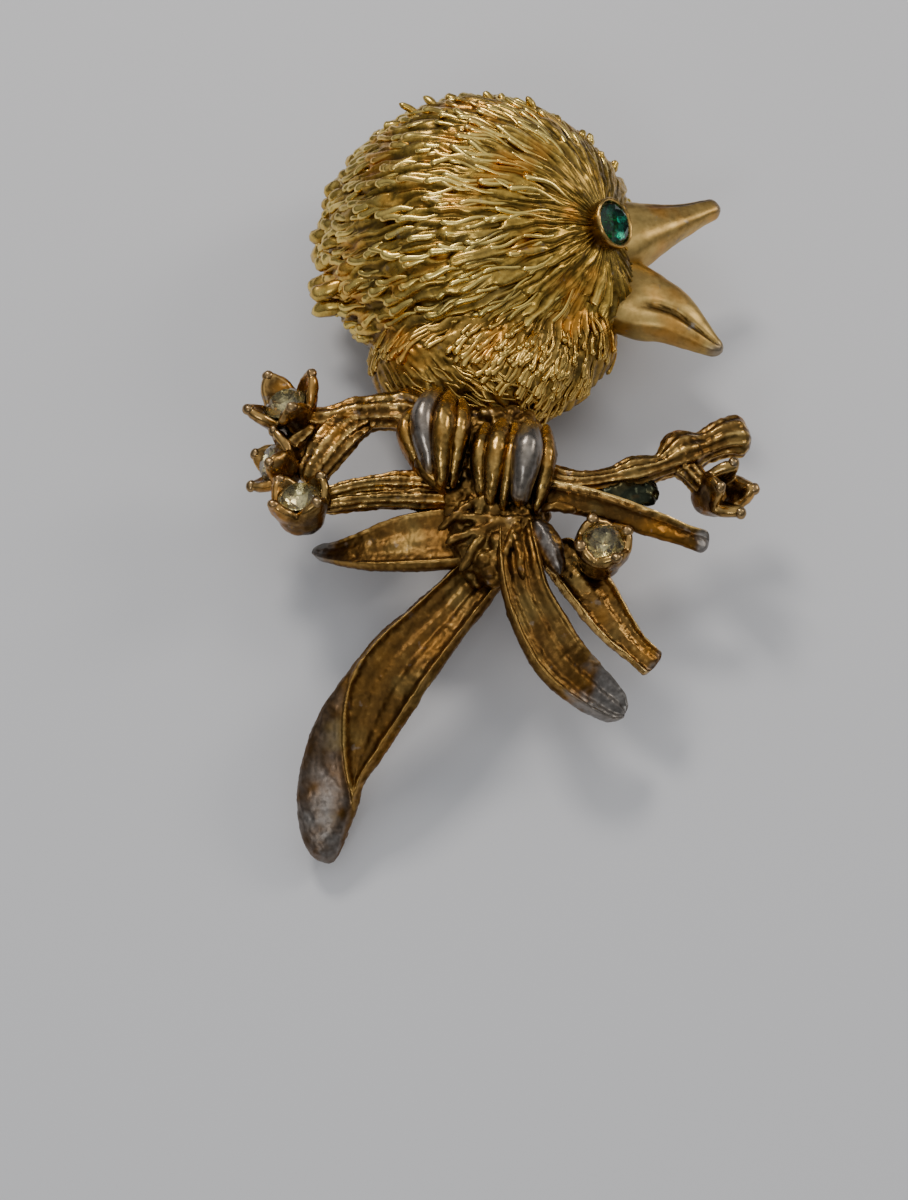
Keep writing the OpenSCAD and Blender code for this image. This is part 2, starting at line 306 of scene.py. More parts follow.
class Graph:
    """Short names for building a material's nodes."""

    def __init__(self, name):
        self.material = bpy.data.materials.new(name)
        self.material.use_nodes = True
        self.nodes = self.material.node_tree.nodes
        self.links = self.material.node_tree.links
        self.surface = self.nodes["Principled BSDF"]

    def plug(self, socket, value):
        """Joins another node's output to a socket, or sets the socket to a plain value."""
        if isinstance(value, bpy.types.NodeSocket):
            self.links.new(value, socket)
        else:
            socket.default_value = value

    def feed(self, socket, value):
        self.plug(self.surface.inputs[socket], value)

    def node(self, kind, inputs=(), **settings):
        made = self.nodes.new(kind)
        for key, value in settings.items():
            setattr(made, key, value)
        for key, value in dict(inputs).items():
            self.plug(made.inputs[key], value)
        return made

    def attribute(self, name):
        return self.node("ShaderNodeAttribute", attribute_name=name).outputs["Fac"]

    def place(self):
        return self.node("ShaderNodeTexCoord").outputs["Object"]

    def speckle(self, size_mm, detail=3.0, rough=0.55):
        """Noise from 0 to 1 with features of the given size."""
        return self.node("ShaderNodeTexNoise", {"Vector": self.place(), "Scale": 1 / (size_mm * MM),
                         "Detail": detail, "Roughness": rough}).outputs["Fac"]

    def ramp(self, value, stops):
        made = self.node("ShaderNodeValToRGB", {"Fac": value})
        while len(made.color_ramp.elements) < len(stops):
            made.color_ramp.elements.new(0.5)
        for element, (place, colour) in zip(made.color_ramp.elements, stops):
            element.position = place
            element.color = (*colour, 1)
        return made.outputs["Color"]

    def span(self, value, low, high, to_low=0.0, to_high=1.0):
        return self.node("ShaderNodeMapRange", {"Value": value, "From Min": low, "From Max": high,
                         "To Min": to_low, "To Max": to_high}).outputs["Result"]

    def arithmetic(self, operation, a, b):
        return self.node("ShaderNodeMath", {0: a, 1: b}, operation=operation).outputs[0]

    def times(self, a, b):
        return self.arithmetic("MULTIPLY", a, b)

    def plus(self, a, b):
        return self.arithmetic("ADD", a, b)

    def blend(self, factor, *colours):
        """A mix of two colours, each a node's output or three numbers."""
        first, second = (c if isinstance(c, bpy.types.NodeSocket) else (*c, 1) for c in colours)
        return self.node("ShaderNodeMix", {0: factor, 6: first, 7: second},
                         data_type="RGBA").outputs[2]

    def bump(self, strength, depth_mm, height):
        made = self.node("ShaderNodeBump", {"Strength": strength, "Distance": depth_mm * MM,
                         "Height": height})
        self.feed("Normal", made.outputs["Normal"])


WARM_PLATE = (0.78, 0.32, 0.04)
OLIVE_PLATE = (0.27, 0.19, 0.06)
DARK_GREY = (0.19, 0.175, 0.16)    # of the metal under the plate, and of the painted sky reflection on the small leaf
PALE_GREY = (0.33, 0.31, 0.29)
GLASS_IOR = 1.56


def gold(name, dark, middle, bright, rough=(0.16, 0.36), bump=0.2, worn_rough=0.3, spots=0.55,
         warmth=0.5):
    """Plated casting: recesses darkened by antiquing and by painted shade, crests lightened as a
    painted highlight, warm and olive patches, and grey metal where the plate is worn through; on
    the small leaf that grey is a painted reflection of the sky."""
    g = Graph(name)
    relief = g.attribute("relief")
    grainy = g.speckle(0.25, 4.0)
    level = g.plus(relief, g.span(grainy, 0.3, 0.7, -0.14, 0.14))
    # colour by relief: dark for antiquing and painted shade in the recesses, bright as painted
    # highlight on the crests
    colour = g.ramp(level, [(0.1, dark), (0.45, middle), (0.82, bright)])
    patches = g.speckle(2.5, 2.0)
    warm = g.blend(g.span(patches, 0.54, 0.7, 0.0, warmth), colour, WARM_PLATE)
    olive = g.blend(g.span(patches, 0.46, 0.3, 0.0, 0.45), warm, OLIVE_PLATE)
    pits = g.span(g.speckle(0.7, 3.0), 0.66, 0.72, 0.0, spots)
    # grey where the plate is worn, at the pits, and on the small leaf's top as a painted reflection
    worn = g.arithmetic("MAXIMUM", g.attribute("wear_and_reflection"), pits)
    grey = g.ramp(grainy, [(0.3, DARK_GREY), (0.7, PALE_GREY)])
    g.feed("Base Color", g.blend(worn, olive, grey))
    g.feed("Metallic", 1.0)
    shine = g.span(g.plus(g.speckle(0.5), g.times(relief, -0.35)), 0.05, 0.65, *rough)
    g.feed("Roughness", g.plus(shine, g.times(worn, worn_rough - rough[0])))
    g.bump(bump, 0.03, g.speckle(0.12, 4.0, 0.7))
    return g.material


def wire_metal(name, colour, rough, streak):
    """Drawn or stamped metal with fine streaks along X and handling marks."""
    g = Graph(name)
    stretched = g.node("ShaderNodeMapping", {"Vector": g.place(), "Scale": (0.15, 1, 1)})
    streaks = g.node("ShaderNodeTexNoise", {"Vector": stretched.outputs[0],
                     "Scale": 1 / (streak * MM), "Detail": 3.0}).outputs["Fac"]
    darker = tuple(0.62 * c for c in colour)
    marks = g.speckle(1.2, 4.0)
    g.feed("Base Color", g.blend(g.span(marks, 0.35, 0.65), darker, colour))
    g.feed("Metallic", 1.0)
    g.feed("Roughness", g.span(streaks, 0.3, 0.7, rough, rough + 0.18))
    g.bump(0.2, 0.02, streaks)
    return g.material


def glass(name, colour):
    g = Graph(name)
    marks = g.speckle(0.6, 2.0)
    pale = tuple(min(1.0, 1.12 * c) for c in colour)
    g.feed("Base Color", g.blend(g.span(marks, 0.35, 0.65), colour, pale))
    g.feed("Roughness", 0.02)
    g.feed("IOR", GLASS_IOR)
    g.feed("Transmission Weight", 1.0)
    return g.material


def foil(name, colour):
    g = Graph(name)
    marks = g.speckle(0.35, 4.0)
    dull = tuple(0.45 * c for c in colour)
    g.feed("Base Color", g.blend(g.span(marks, 0.35, 0.62), dull, colour))
    g.feed("Metallic", 1.0)
    g.feed("Roughness", g.span(marks, 0.3, 0.7, 0.3, 0.12))
    return g.material


# ---- head ----

HEAD_CENTRE = np.array([-1.1, 12.2, 3.6])
HEAD_RADIUS = 8.9
RIM_Z = 4.0                        # where the head's fur ends, over the pin bar
FUR_DEPTH = 0.5                    # from the skin to the usual crest of the fur
SKIN_RADIUS = HEAD_RADIUS - FUR_DEPTH
WALL = 1.1                         # of the hollow casting, fur included
EYE_DIRECTION = unit([0.75, -0.234, 0.62])
EYE_FACING = unit([0.69, -0.19, 0.70])
EYE_PLACE = HEAD_CENTRE + EYE_DIRECTION * HEAD_RADIUS
CHEEK = unit([0.83, -0.50, 0.24])  # where the fur swells over the root of the lower beak
CHEEK_SWELL = 0.8
CHEEK_SIZE = 0.025                 # in 1 - cosine of the angle from its middle
EYE_HOLE = 0.11                    # radians around the eye that its setting covers
FUR_ROWS = 11


def around_eye():
    """Two directions square to the eye's own."""
    first = unit(np.cross([0, 0, 1], EYE_DIRECTION))
    return first, np.cross(EYE_DIRECTION, first)


def away_from_eye(bend, spread):
    """The head's outward directions at an angle around the eye and another away from it, and
    the directions that lead on from the eye there."""
    first, second = around_eye()
    ray = np.cos(bend)[..., None] * first + np.sin(bend)[..., None] * second
    near, far = np.cos(spread)[..., None], np.sin(spread)[..., None]
    return near * EYE_DIRECTION + far * ray, near * ray - far * EYE_DIRECTION


def fur_rows():
    """Rows of locks, from the rim inwards: distance of the tips from the rim, length of a lock,
    its width and its height."""
    rows = []
    tip = -0.1
    for row in range(FUR_ROWS):
        length = 2.0 + 0.28 * row
        rows.append((tip, length, 0.85 + 0.06 * row, 0.3 - 0.02 * row))
        tip += 1.25 + 0.17 * row
    return rows


def fur_height(bend, travel, edge):
    """Height of the fur. bend is the angle around the eye, travel the distance from the eye and
    edge the distance left to the rim, all along the head."""
    height = np.zeros_like(bend)
    for tip, length, width, tall in fur_rows():
        here = travel[np.abs(edge - tip) < 0.8]
        radius = np.mean(np.abs(HEAD_RADIUS * np.sin(here / HEAD_RADIUS)))
        if not radius > 0.5:
            continue
        locks = max(8, round(TAU * radius / width))
        wander = 0.35 * noise(np.stack([2.2 * bend, 0.45 * travel, 0 * bend + tip], -1))
        cell = (bend / TAU * locks + rng.random() + wander) % locks
        lock = np.floor(cell).astype(int) % locks
        across = 2 * (cell - np.floor(cell)) - 1
        shift, gain, skew = rng.normal(0, 1, (3, locks))
        own_tip = tip + 0.42 * shift[lock] * (0.5 + 0.08 * length)
        across = np.clip(across + 0.25 * skew[lock] * (1 - across ** 2), -1, 1)
        behind = edge - own_tip - 0.7 * np.abs(across) ** 1.6
        reach = 1 - behind / length
        body = smoothstep(0, 0.45, reach) * (0.45 + 0.55 * np.clip(reach, 0, 1))
        body = body * smoothstep(0, 0.14, behind)
        bulge = 1 - 0.85 * np.abs(across) ** 2.2
        height = np.maximum(height, tall * (1 + 0.3 * gain[lock]) * body * bulge)
    return height


def strands(bend, travel):
    """Fine hair lines along the flow, from -1 in the groove to 1 on the crest."""
    wave = 0.9 * noise(np.stack([5 * bend, 0.35 * travel, 0 * bend], -1))
    fine = 0.5 * noise(np.stack([14 * bend, 0.9 * travel, 0 * bend + 4], -1))
    ratio = np.clip(np.sin(np.clip(travel / HEAD_RADIUS, 0, math.pi)), 0.05, 1)
    total, weight = 0.0, 0.0
    for count, middle in ((34, 0.25), (58, 0.55), (88, 0.95)):
        share = bell(ratio, middle, 0.22) + 0.01
        line = np.cos(bend * count + TAU * (wave + fine) + 1.7 * count)
        total = total + share * np.sign(line) * np.abs(line) ** 0.7
        weight = weight + share
    return total / weight


def head_shape():
    columns, rows, inner_rows = 640, 100, 10
    first, second = around_eye()
    bend = circle(columns)
    lift = np.cos(bend) * first[2] + np.sin(bend) * second[2]
    level = (RIM_Z - HEAD_CENTRE[2]) / SKIN_RADIUS
    far = np.arctan2(lift, EYE_DIRECTION[2]) + np.arccos(level / np.hypot(lift, EYE_DIRECTION[2]))
    spread = EYE_HOLE + (far - EYE_HOLE) * np.linspace(0, 1, rows)[:, None] ** 0.9
    bend = bend + 0 * spread
    flow, onward = (unit(v) for v in away_from_eye(bend, spread))
    travel = SKIN_RADIUS * spread
    edge = SKIN_RADIUS * (far - spread)
    fade = smoothstep(1.2, 4.5, travel)
    locks = fur_height(bend, travel, edge) * (0.25 + 0.75 * fade)
    hair = strands(bend, travel)
    grain = rough_noise(flow * SKIN_RADIUS, 0.5, 2)
    height = locks + (0.045 + 0.035 * fade) * hair + 0.03 * grain
    height = height + CHEEK_SWELL * np.exp(-(1 - flow @ CHEEK) / CHEEK_SIZE)
    outer = HEAD_CENTRE + flow * (SKIN_RADIUS + height)[..., None]
    lean = 0.7 * np.clip(locks, 0, 1) ** 1.3 * smoothstep(0.0, 0.5, edge)
    outer = outer + onward * lean[..., None]
    outer[..., 2] = np.maximum(outer[..., 2], RIM_Z - 0.1)
    # raised locks and hair crests painted lighter as highlight, the skin between them darker as
    # painted shade
    relief = 0.12 + 1.1 * locks + 0.26 * hair + 0.12 * grain
    flow = unit(away_from_eye(bend[:1], far * np.linspace(1, 0, inner_rows)[:, None])[0])
    inner = HEAD_CENTRE + flow * (HEAD_RADIUS - WALL)
    inner = inner + flow * 0.05 * rough_noise(inner, 1.4)[..., None]
    inner[0, :, 2] = RIM_Z
    relief = np.concatenate([relief, 0.25 + 0 * inner[..., 0]])
    return Shape().add_rings(np.concatenate([outer, inner]), relief)


def on_head(points):
    """The nearest points of the head's skin, and its outward directions there."""
    outward = unit(points - HEAD_CENTRE)
    return HEAD_CENTRE + outward * SKIN_RADIUS, outward


def add_locks(shape, surface, starts, headings, lengths, widths, rises, bulbs, drifts, tone):
    """Raised locks of hair laid along a surface: sunk at the root, blunt and lifted at the tip.
    Each has a length, a half width, the rise and the bulb of its tip and its sideways drift."""
    sections, sides = 17, 8
    t = np.linspace(0, 1, sections)[None, :]
    sideways = unit(np.cross(headings, unit(starts - HEAD_CENTRE)))
    phase = rng.uniform(0, TAU, len(starts))[:, None]
    wave = 0.035 * lengths[:, None] * np.sin(phase + 1.3 * TAU * t)
    walk = starts[:, None] + headings[:, None] * (lengths[:, None] * t)[..., None]
    walk = walk + sideways[:, None] * (drifts[:, None] * t ** 2 + wave)[..., None]
    foot, outward = surface(walk)
    spine = foot + outward * (rises[:, None] * t ** 1.3 - 0.1 * (1 - t) ** 2)[..., None]
    along = unit(np.gradient(spine, axis=1))
    side = unit(np.cross(along, outward))
    up = np.cross(side, along)
    far = lengths[:, None] * (1 - t)
    cap = np.sqrt(np.clip(1 - (1 - np.clip(far / (1.3 * widths[:, None]), 0, 1)) ** 2, 0.02, 1))
    swell = 0.45 + 0.55 * smoothstep(0, 0.6, t) + bulbs[:, None] * bell(t, 0.88, 0.1)
    half = widths[:, None] * swell * cap
    angle = circle(sides)[0]
    rings = (spine[:, :, None] + side[:, :, None] * (half[..., None] * np.cos(angle))[..., None]
             + up[:, :, None] * (0.8 * half[..., None] * np.sin(angle))[..., None])
    tones = tone + rng.normal(0, 0.07, len(starts))
    for own, ring in zip(tones, rings):
        # each lock painted lighter on its upper side and towards its lifted tip as highlight,
        # darker at its sunk root as painted shade; its tone also varies at random
        relief = own + 0.42 * t[0][:, None] + 0.26 * np.sin(angle)[None, :]
        shape.add_rings(ring, relief)


def hem_height(x):
    """How far down the head's shaggy hem hangs over the breast, as y at each x."""
    return 3.9 - 0.8 * np.clip(x + 2.1, 0, None)


LOCKS_FROM, LOCKS_TO, LOCK_ROW = 1.8, 21, 1.15    # distances from the eye, and between rows


def head_locks_shape():
    """Long thin locks near the eye, thicker ones further out, and blunt tips around the rim."""
    turns, travels = [], []
    travel = LOCKS_FROM
    while travel < LOCKS_TO:
        around = max(0.6, SKIN_RADIUS * math.sin(min(travel / SKIN_RADIUS, 2.6)))
        count = int(TAU * around / (0.5 + 0.32 * smoothstep(3, 9, travel)))
        turns += list((np.arange(count) + rng.random(count)) / count * TAU)
        travels += list(travel + rng.normal(0, 0.35, count))
        travel += LOCK_ROW
    travels = np.array(travels)
    flow, headings = away_from_eye(np.array(turns), travels / SKIN_RADIUS)
    starts = HEAD_CENTRE + SKIN_RADIUS * flow
    lengths = rng.uniform(1.5, 3.0, len(starts)) + 1.8 * smoothstep(8, 3, travels)
    for shrink in (0.7, 0.6):      # shortens the locks whose tips would cross the rim
        tips, _ = on_head(starts + headings * lengths[:, None])
        lengths = np.where(tips[:, 2] < RIM_Z + 0.1, np.clip(lengths * shrink, 1.0, None), lengths)
    tips, _ = on_head(starts + headings * lengths[:, None])
    # no lock starts on the beak's root, and none in the breast
    cheek = (starts[:, 0] > 5.8) & (starts[:, 1] > 5.4) & (starts[:, 1] < 13.8)
    buried = (head_share(starts) < 0.5) & (starts[:, 1] < 8)
    keep = (starts[:, 2] > RIM_Z + 0.4) & (tips[:, 2] > RIM_Z - 0.3) & ~cheek & ~buried
    starts, headings, lengths, tips = starts[keep], headings[keep], lengths[keep], tips[keep]
    rimward = smoothstep(4.5, 0.5, tips[:, 2] - RIM_Z)
    outer = smoothstep(4, 10, travels[keep])
    count = len(starts)
    widths = rng.uniform(0.075, 0.165, count) * (1 + 0.55 * outer + 0.5 * rimward)
    rises = rng.uniform(0.08, 0.18, count) * (1 + 0.6 * outer + 0.9 * rimward)
    shape = Shape()
    add_locks(shape, on_head, starts, headings, lengths, widths, rises,
              0.15 + 0.5 * rimward * rng.random(count), rng.normal(0, 0.3, count), 0.3)
    add_rim_tips(shape)
    return shape


# height over the rim, climb towards the crown, gap between tufts and half width of a tuft
TIP_ROWS = ((1.2, 1.6, 1.8, 0.5), (2.5, 2.0, 1.8, 0.4), (3.8, 2.4, 1.9, 0.3))


def add_rim_tips(shape):
    """Blunt tufts that stand out round the head, in staggered rows that climb towards its crown."""
    for level, climb, gap, wide in TIP_ROWS:
        turn = np.arange(0, 360, math.degrees(gap / HEAD_RADIUS))
        turn = np.radians(turn + rng.normal(0, 2.2, len(turn)))
        level = level + climb * np.clip(np.sin(turn), 0, 1) + rng.normal(0, 0.18, len(turn))
        lift = np.arcsin((RIM_Z - HEAD_CENTRE[2] + level) / SKIN_RADIUS)
        outward = np.stack([np.cos(turn) * np.cos(lift), np.sin(turn) * np.cos(lift),
                            np.sin(lift)], -1)
        starts = HEAD_CENTRE + outward * SKIN_RADIUS
        headings = unit(outward * (outward @ EYE_DIRECTION)[:, None] - EYE_DIRECTION)
        cheek = (starts[:, 0] > 4.4) & (starts[:, 1] > 5.0) & (starts[:, 1] < 14.2)
        keep = ~cheek & (starts[:, 1] >= 7.2)
        starts, headings = starts[keep], headings[keep]
        count = len(starts)
        low = 1 - 0.6 * np.clip(starts[:, 1] - HEAD_CENTRE[1], 0, None) / HEAD_RADIUS
        low = low * (1 - 0.5 * smoothstep(-1.0, 4.0, starts[:, 0]))
        add_locks(shape, on_head, starts, headings, low * rng.uniform(1.1, 1.7, count),
                  wide * rng.uniform(0.8, 1.25, count), low * (0.45 + 1.1 * rng.random(count) ** 2),
                  rng.uniform(0.0, 0.4, count), rng.normal(0, 0.2, count), 0.12)


# ---- breast ----

# middles and radii of the balls that make it up
BREAST_LOBES = (((-3.3, 4.9, 4.0), 3.8), ((-0.5, 4.2, 4.2), 4.1), ((1.7, 5.0, 4.0), 3.5),
                ((3.3, 6.3, 4.2), 2.95))
BREAST_MIDDLE = np.array([-0.4, 4.8, 4.0])
LOBE_FILLET = 6                    # larger numbers make tighter fillets, here between the lobes
FILLET = 2.2                       # and here under the head


def ball_reach(flow, centre, radius):
    """Distance from the breast's middle to a ball's far side in each direction, 0 where the ball
    isn't met."""
    offset = BREAST_MIDDLE - np.array(centre)
    along = flow @ offset
    square = along ** 2 - offset @ offset + radius ** 2
    return np.where(square > 0, np.sqrt(np.clip(square, 0, None)) - along, 0)


def breast_reach(flow):
    """How far the breast's surface lies from its middle in each direction, filleted to the head,
    and the head's share in it. Where the head takes over, the breast dips under its skin."""
    lobes = sum(np.exp(LOBE_FILLET * ball_reach(flow, *lobe)) for lobe in BREAST_LOBES)
    head = np.exp(FILLET * ball_reach(flow, HEAD_CENTRE, SKIN_RADIUS))
    breast = np.exp(FILLET * (np.log(lobes) / LOBE_FILLET - 0.25))
    share = head / (head + breast)
    return np.log(head + breast) / FILLET - 0.4 * share ** 4, share


def on_breast(points):
    """The points brought to the breast's surface, and the outward directions there."""
    outward = unit(points - BREAST_MIDDLE)
    return BREAST_MIDDLE + outward * breast_reach(outward)[0][..., None], outward


def head_share(points):
    """From 0 to 1, how much of the surface at each point is the head's."""
    return breast_reach(unit(points - BREAST_MIDDLE))[1]


def hair_slope(x):
    """Slope of the breast's hair lines: steep at its left edge, slanting down to the right."""
    return -0.75 - 1.5 * bell(x, -6.6, 1.6) - smoothstep(1.0, 4.0, x)


def breast_shape():
    columns, rows = 640, 120
    turn = circle(columns)
    lean = np.linspace(0.02, math.pi / 2, rows)[:, None]
    flow = np.stack([np.sin(lean) * np.cos(turn), np.sin(lean) * np.sin(turn),
                     np.cos(lean) + 0 * turn], -1)
    points = BREAST_MIDDLE + flow * breast_reach(flow)[0][..., None]
    x = np.linspace(-9, 9, 361)
    drop = np.cumsum(hair_slope(x)) * (x[1] - x[0])
    line = points[..., 1] - np.interp(points[..., 0], x, drop)
    warp = 0.5 * noise(points * 0.9)
    hair = np.cos(TAU * (line / 0.5 + warp))
    breaks = np.clip(0.6 + 0.8 * rough_noise(points, 0.9, 2), 0, 1.2)
    smooth_lobe = smoothstep(2.6, 3.8, points[..., 0]) * smoothstep(3.6, 2.2, points[..., 1])
    first, second = around_eye()
    offset = points - EYE_PLACE
    streaks = np.cos(80 * np.arctan2(offset @ second, offset @ first) + TAU * warp)
    shaggy = smoothstep(-0.6, 0.6, points[..., 1] - hem_height(points[..., 0]))
    hair = hair + (1.4 * streaks - hair) * shaggy
    keep = 1 - 0.6 * smooth_lobe
    grain = rough_noise(points, 0.5, 2)
    points = points + flow * (keep * 0.06 * hair * breaks + 0.03 * grain)[..., None]
    from_head = points - HEAD_CENTRE
    distance = np.linalg.norm(from_head, axis=-1, keepdims=True)
    hidden = SKIN_RADIUS - 0.3
    points = np.where(distance < hidden, HEAD_CENTRE + from_head / distance * hidden, points)
    points[..., 2] = np.maximum(points[..., 2], RIM_Z)
    points[-1, :, 2] = RIM_Z
    # hair crests and the smooth lobe painted lighter as highlight, the grooves darker as painted
    # shade
    relief = np.clip(0.26 + 0.1 * smooth_lobe + keep * 0.2 * hair * breaks + 0.1 * grain, 0, 1)
    base = BREAST_MIDDLE + (points[-1] - BREAST_MIDDLE) * np.array([0.9, 0.9, 1.0])
    return Shape().add_rings(np.concatenate([points, base[None]]),
                             np.concatenate([relief, relief[-1:] * 0.5]))


# lowest and highest length, half width, rise of the tip and bulb at the tip
HANGING_HAIR = ((1.1, 2.2), (0.11, 0.17), (0.0, 0.12), (0.1, 0.7))
SHORT_HAIR = ((1.6, 2.8), (0.06, 0.085), (0.0, 0.05), (0.0, 0.2))


def breast_hair_shape():
    """Short slanting hairs over the breast and, above the hem, locks that carry on the head's."""
    shape = Shape()
    for hanging in (True, False):
        step = 0.38 if hanging else 0.42
        x, y = np.meshgrid(np.arange(-7.2, 6.6, step), np.arange(-0.8, 9.0, step * 1.4))
        x = x.ravel() + rng.uniform(-0.25, 0.25, x.size)
        y = y.ravel() + rng.uniform(-0.3, 0.3, y.size)
        # a rough dome that aims the starts, which on_breast then brings to the surface
        level = np.sqrt(np.clip(16.5 - 0.42 * (x + 0.4) ** 2 - (y - 4.8) ** 2, 0.05, None))
        starts, outward = on_breast(np.stack([x, y, RIM_Z + level], -1))
        above = starts[:, 1] > hem_height(starts[:, 0]) + (0.5 if hanging else -0.1)
        # the smooth lobe at the lower right and the skin behind the beak have no hair
        bare = (starts[:, 0] > 3.2) & (starts[:, 1] < 2.4)
        bare = bare | (starts[:, 0] > 4.6) & (starts[:, 1] > 6.6)
        keep = (head_share(starts) < 0.62) & (starts[:, 2] > RIM_Z + 0.8)
        keep = keep & (above == hanging) & ~bare
        starts, outward = starts[keep], outward[keep]
        if hanging:
            headings = unit(starts - EYE_PLACE)
        else:
            headings = np.stack([np.ones(len(starts)), hair_slope(starts[:, 0]),
                                 np.zeros(len(starts))], -1)
        headings = unit(headings - outward * np.sum(headings * outward, -1, keepdims=True))
        count = len(starts)
        sizes = [rng.uniform(*span, count) for span in (HANGING_HAIR if hanging else SHORT_HAIR)]
        add_locks(shape, on_breast, starts, headings, *sizes, rng.normal(0, 0.15, count),
                  0.16 if hanging else 0.12)
    return shape


# ---- beak ----

UPPER_BEAK = [[5.4, 11.5, 5.7, 2.4, 1.9], [7.2, 12.1, 5.9, 1.85, 1.5],
              [8.6, 12.65, 5.9, 1.28, 1.05], [9.7, 13.15, 5.8, 0.92, 0.8],
              [10.8, 13.75, 5.7, 0.68, 0.6], [11.8, 14.25, 5.6, 0.52, 0.46]]
LOWER_BEAK = [[5.4, 9.2, 5.2, 2.2, 1.3], [6.65, 8.35, 5.3, 2.2, 1.15],
              [7.65, 7.65, 5.4, 2.0, 1.15], [8.6, 7.1, 5.5, 1.65, 1.1],
              [10.0, 6.05, 5.3, 0.98, 0.75], [10.85, 5.35, 5.2, 0.55, 0.5],
              [11.35, 5.0, 5.2, 0.36, 0.36]]


def beak_shape(stations, crease, bend, deep, edge_line):
    """A mandible with a crease along its face, painted shade in and below the crease, and a thin
    dark line along one edge.
    """
    sides, count = 72, 110
    angle = circle(sides)

    def groove_at(angle, along):
        shown = smoothstep(0.3, 0.5, along) * smoothstep(1.0, 0.9, along)
        return bell(angle - crease - bend * along, 0, 0.13) * shown

    def section(angle, along):
        flat = 1 - 0.05 * np.cos(4 * angle) - deep * groove_at(angle, along)
        return np.cos(angle) * flat, np.sin(angle) * flat

    rings, along = sweep(stations, count, sides, section, end=(0.5, 0.45))
    rings, bumps = roughen(rings, (0.018, 0.9, 2))
    line = bell(angle, math.pi * edge_line, 0.12) * smoothstep(0.35, 0.6, along)
    groove = groove_at(angle, along)
    # the crease and the face below it are painted darker as shade, leaving the face above it
    # lighter as the lit face
    below = smoothstep(-0.5, 0.1, crease + bend * along - angle) * smoothstep(0.3, 0.5, along)
    relief = 0.64 + 0.18 * bumps - 0.6 * groove - 0.55 * line - 0.15 * below
    wear_and_reflection = 0.7 * smoothstep(0.9, 1.0, along + 0.05 * bumps) + 0.35 * line
    return Shape().add_rings(rings, relief, wear_and_reflection)


# ---- feet ----

# each toe's top, middle and lower end, then its half width, its half depth and how grey it is
LEFT_TOES = (
    ((-4.1, 0.7, 6.5), (-4.85, -1.0, 7.1), (-4.0, -3.3, 6.2), 0.45, 0.7, 0.0),
    ((-3.2, 1.1, 7.2), (-3.95, -0.9, 8.0), (-3.6, -3.6, 6.7), 0.66, 0.95, 0.85),
    ((-2.7, 0.9, 7.2), (-3.0, -1.4, 8.2), (-3.1, -4.2, 6.7), 0.62, 0.85, 0.0),
    ((-2.1, 0.7, 7.1), (-2.2, -1.5, 7.8), (-2.6, -4.0, 6.5), 0.5, 0.75, 0.0),
    ((-4.3, -1.6, 6.5), (-4.0, -2.9, 6.9), (-2.9, -4.2, 6.3), 0.4, 0.5, 0.0),
)
RIGHT_TOES = (
    ((-0.9, -0.6, 7.0), (-1.25, -2.7, 7.5), (-1.2, -4.6, 6.5), 0.5, 0.65, 0.0),
    ((-0.1, -0.6, 7.2), (-0.45, -2.8, 8.0), (-0.8, -5.1, 6.7), 0.62, 0.8, 0.0),
    ((0.5, -0.7, 7.1), (0.2, -3.1, 7.9), (-0.2, -5.4, 6.7), 0.45, 0.75, 0.0),
    ((1.15, -1.1, 7.4), (0.95, -3.2, 8.5), (0.55, -5.4, 7.1), 0.74, 1.0, 0.85),
    ((2.0, -0.6, 6.8), (1.95, -2.9, 7.4), (1.4, -5.4, 6.4), 0.48, 0.65, 0.0),
)


def foot_shape(toes):
    """Polished toes that curl over the branch."""
    shape = Shape()
    sides = 48
    ridge = np.cos(circle(sides)) ** 2
    for top, middle, bottom, width, depth, wear_and_reflection in toes:
        stations = [[*top, 0.55 * width, 0.6 * depth], [*middle, width, depth],
                    [*bottom, 0.5 * width, 0.6 * depth]]
        rings, along = sweep(stations, 80, sides, end=(0.7, 0.7))
        rings, bumps = roughen(rings, (0.035, 0.9, 3))
        if wear_and_reflection == 0:
            rings, _ = roughen(rings, (0.025, 0.28, 2))
        # ridge is 1 on a toe's two flanks: these are painted darker as the shade between
        # neighbouring toes
        shape.add_rings(rings, 0.62 - 0.55 * ridge + 0.25 * bumps,
                        wear_and_reflection * smoothstep(0.1, 0.35, along) * smoothstep(1.0, 0.8, along))
    return shape


# ---- twigs and leaves ----

LONG_LEAF = [[-0.4, -7.0, 5.1, 1.1, 0.9], [-3.4, -10.7, 5.2, 1.5, 0.9],
             [-4.9, -12.5, 5.1, 1.75, 0.9], [-6.1, -14.1, 4.6, 1.85, 0.9],
             [-7.2, -15.6, 3.9, 1.85, 0.9], [-8.0, -17.0, 3.1, 1.6, 0.9],
             [-8.4, -18.6, 2.2, 1.4, 0.9], [-8.5, -19.8, 1.5, 1.05, 0.95],
             [-8.3, -20.95, 1.0, 0.5, 0.7]]
CENTRE_LEAF = [[0.4, -5.6, 6.3, 0.8, 0.8], [0.5, -7.4, 6.6, 1.0, 0.9],
               [0.9, -9.8, 6.5, 1.15, 0.8], [1.6, -11.4, 6.2, 1.3, 0.8],
               [2.5, -12.7, 5.6, 1.35, 0.8], [3.6, -13.5, 4.8, 1.25, 0.8],
               [4.8, -14.1, 3.9, 0.95, 0.7], [5.5, -14.45, 3.4, 0.6, 0.6]]
LOWER_RIGHT_LEAF = [[2.2, -6.4, 5.2, 1.0, 0.8], [4.1, -9.0, 5.1, 1.2, 0.75],
                    [5.2, -10.6, 4.7, 0.98, 0.65], [6.2, -11.6, 4.3, 0.74, 0.55],
                    [7.0, -12.25, 4.0, 0.78, 0.5]]
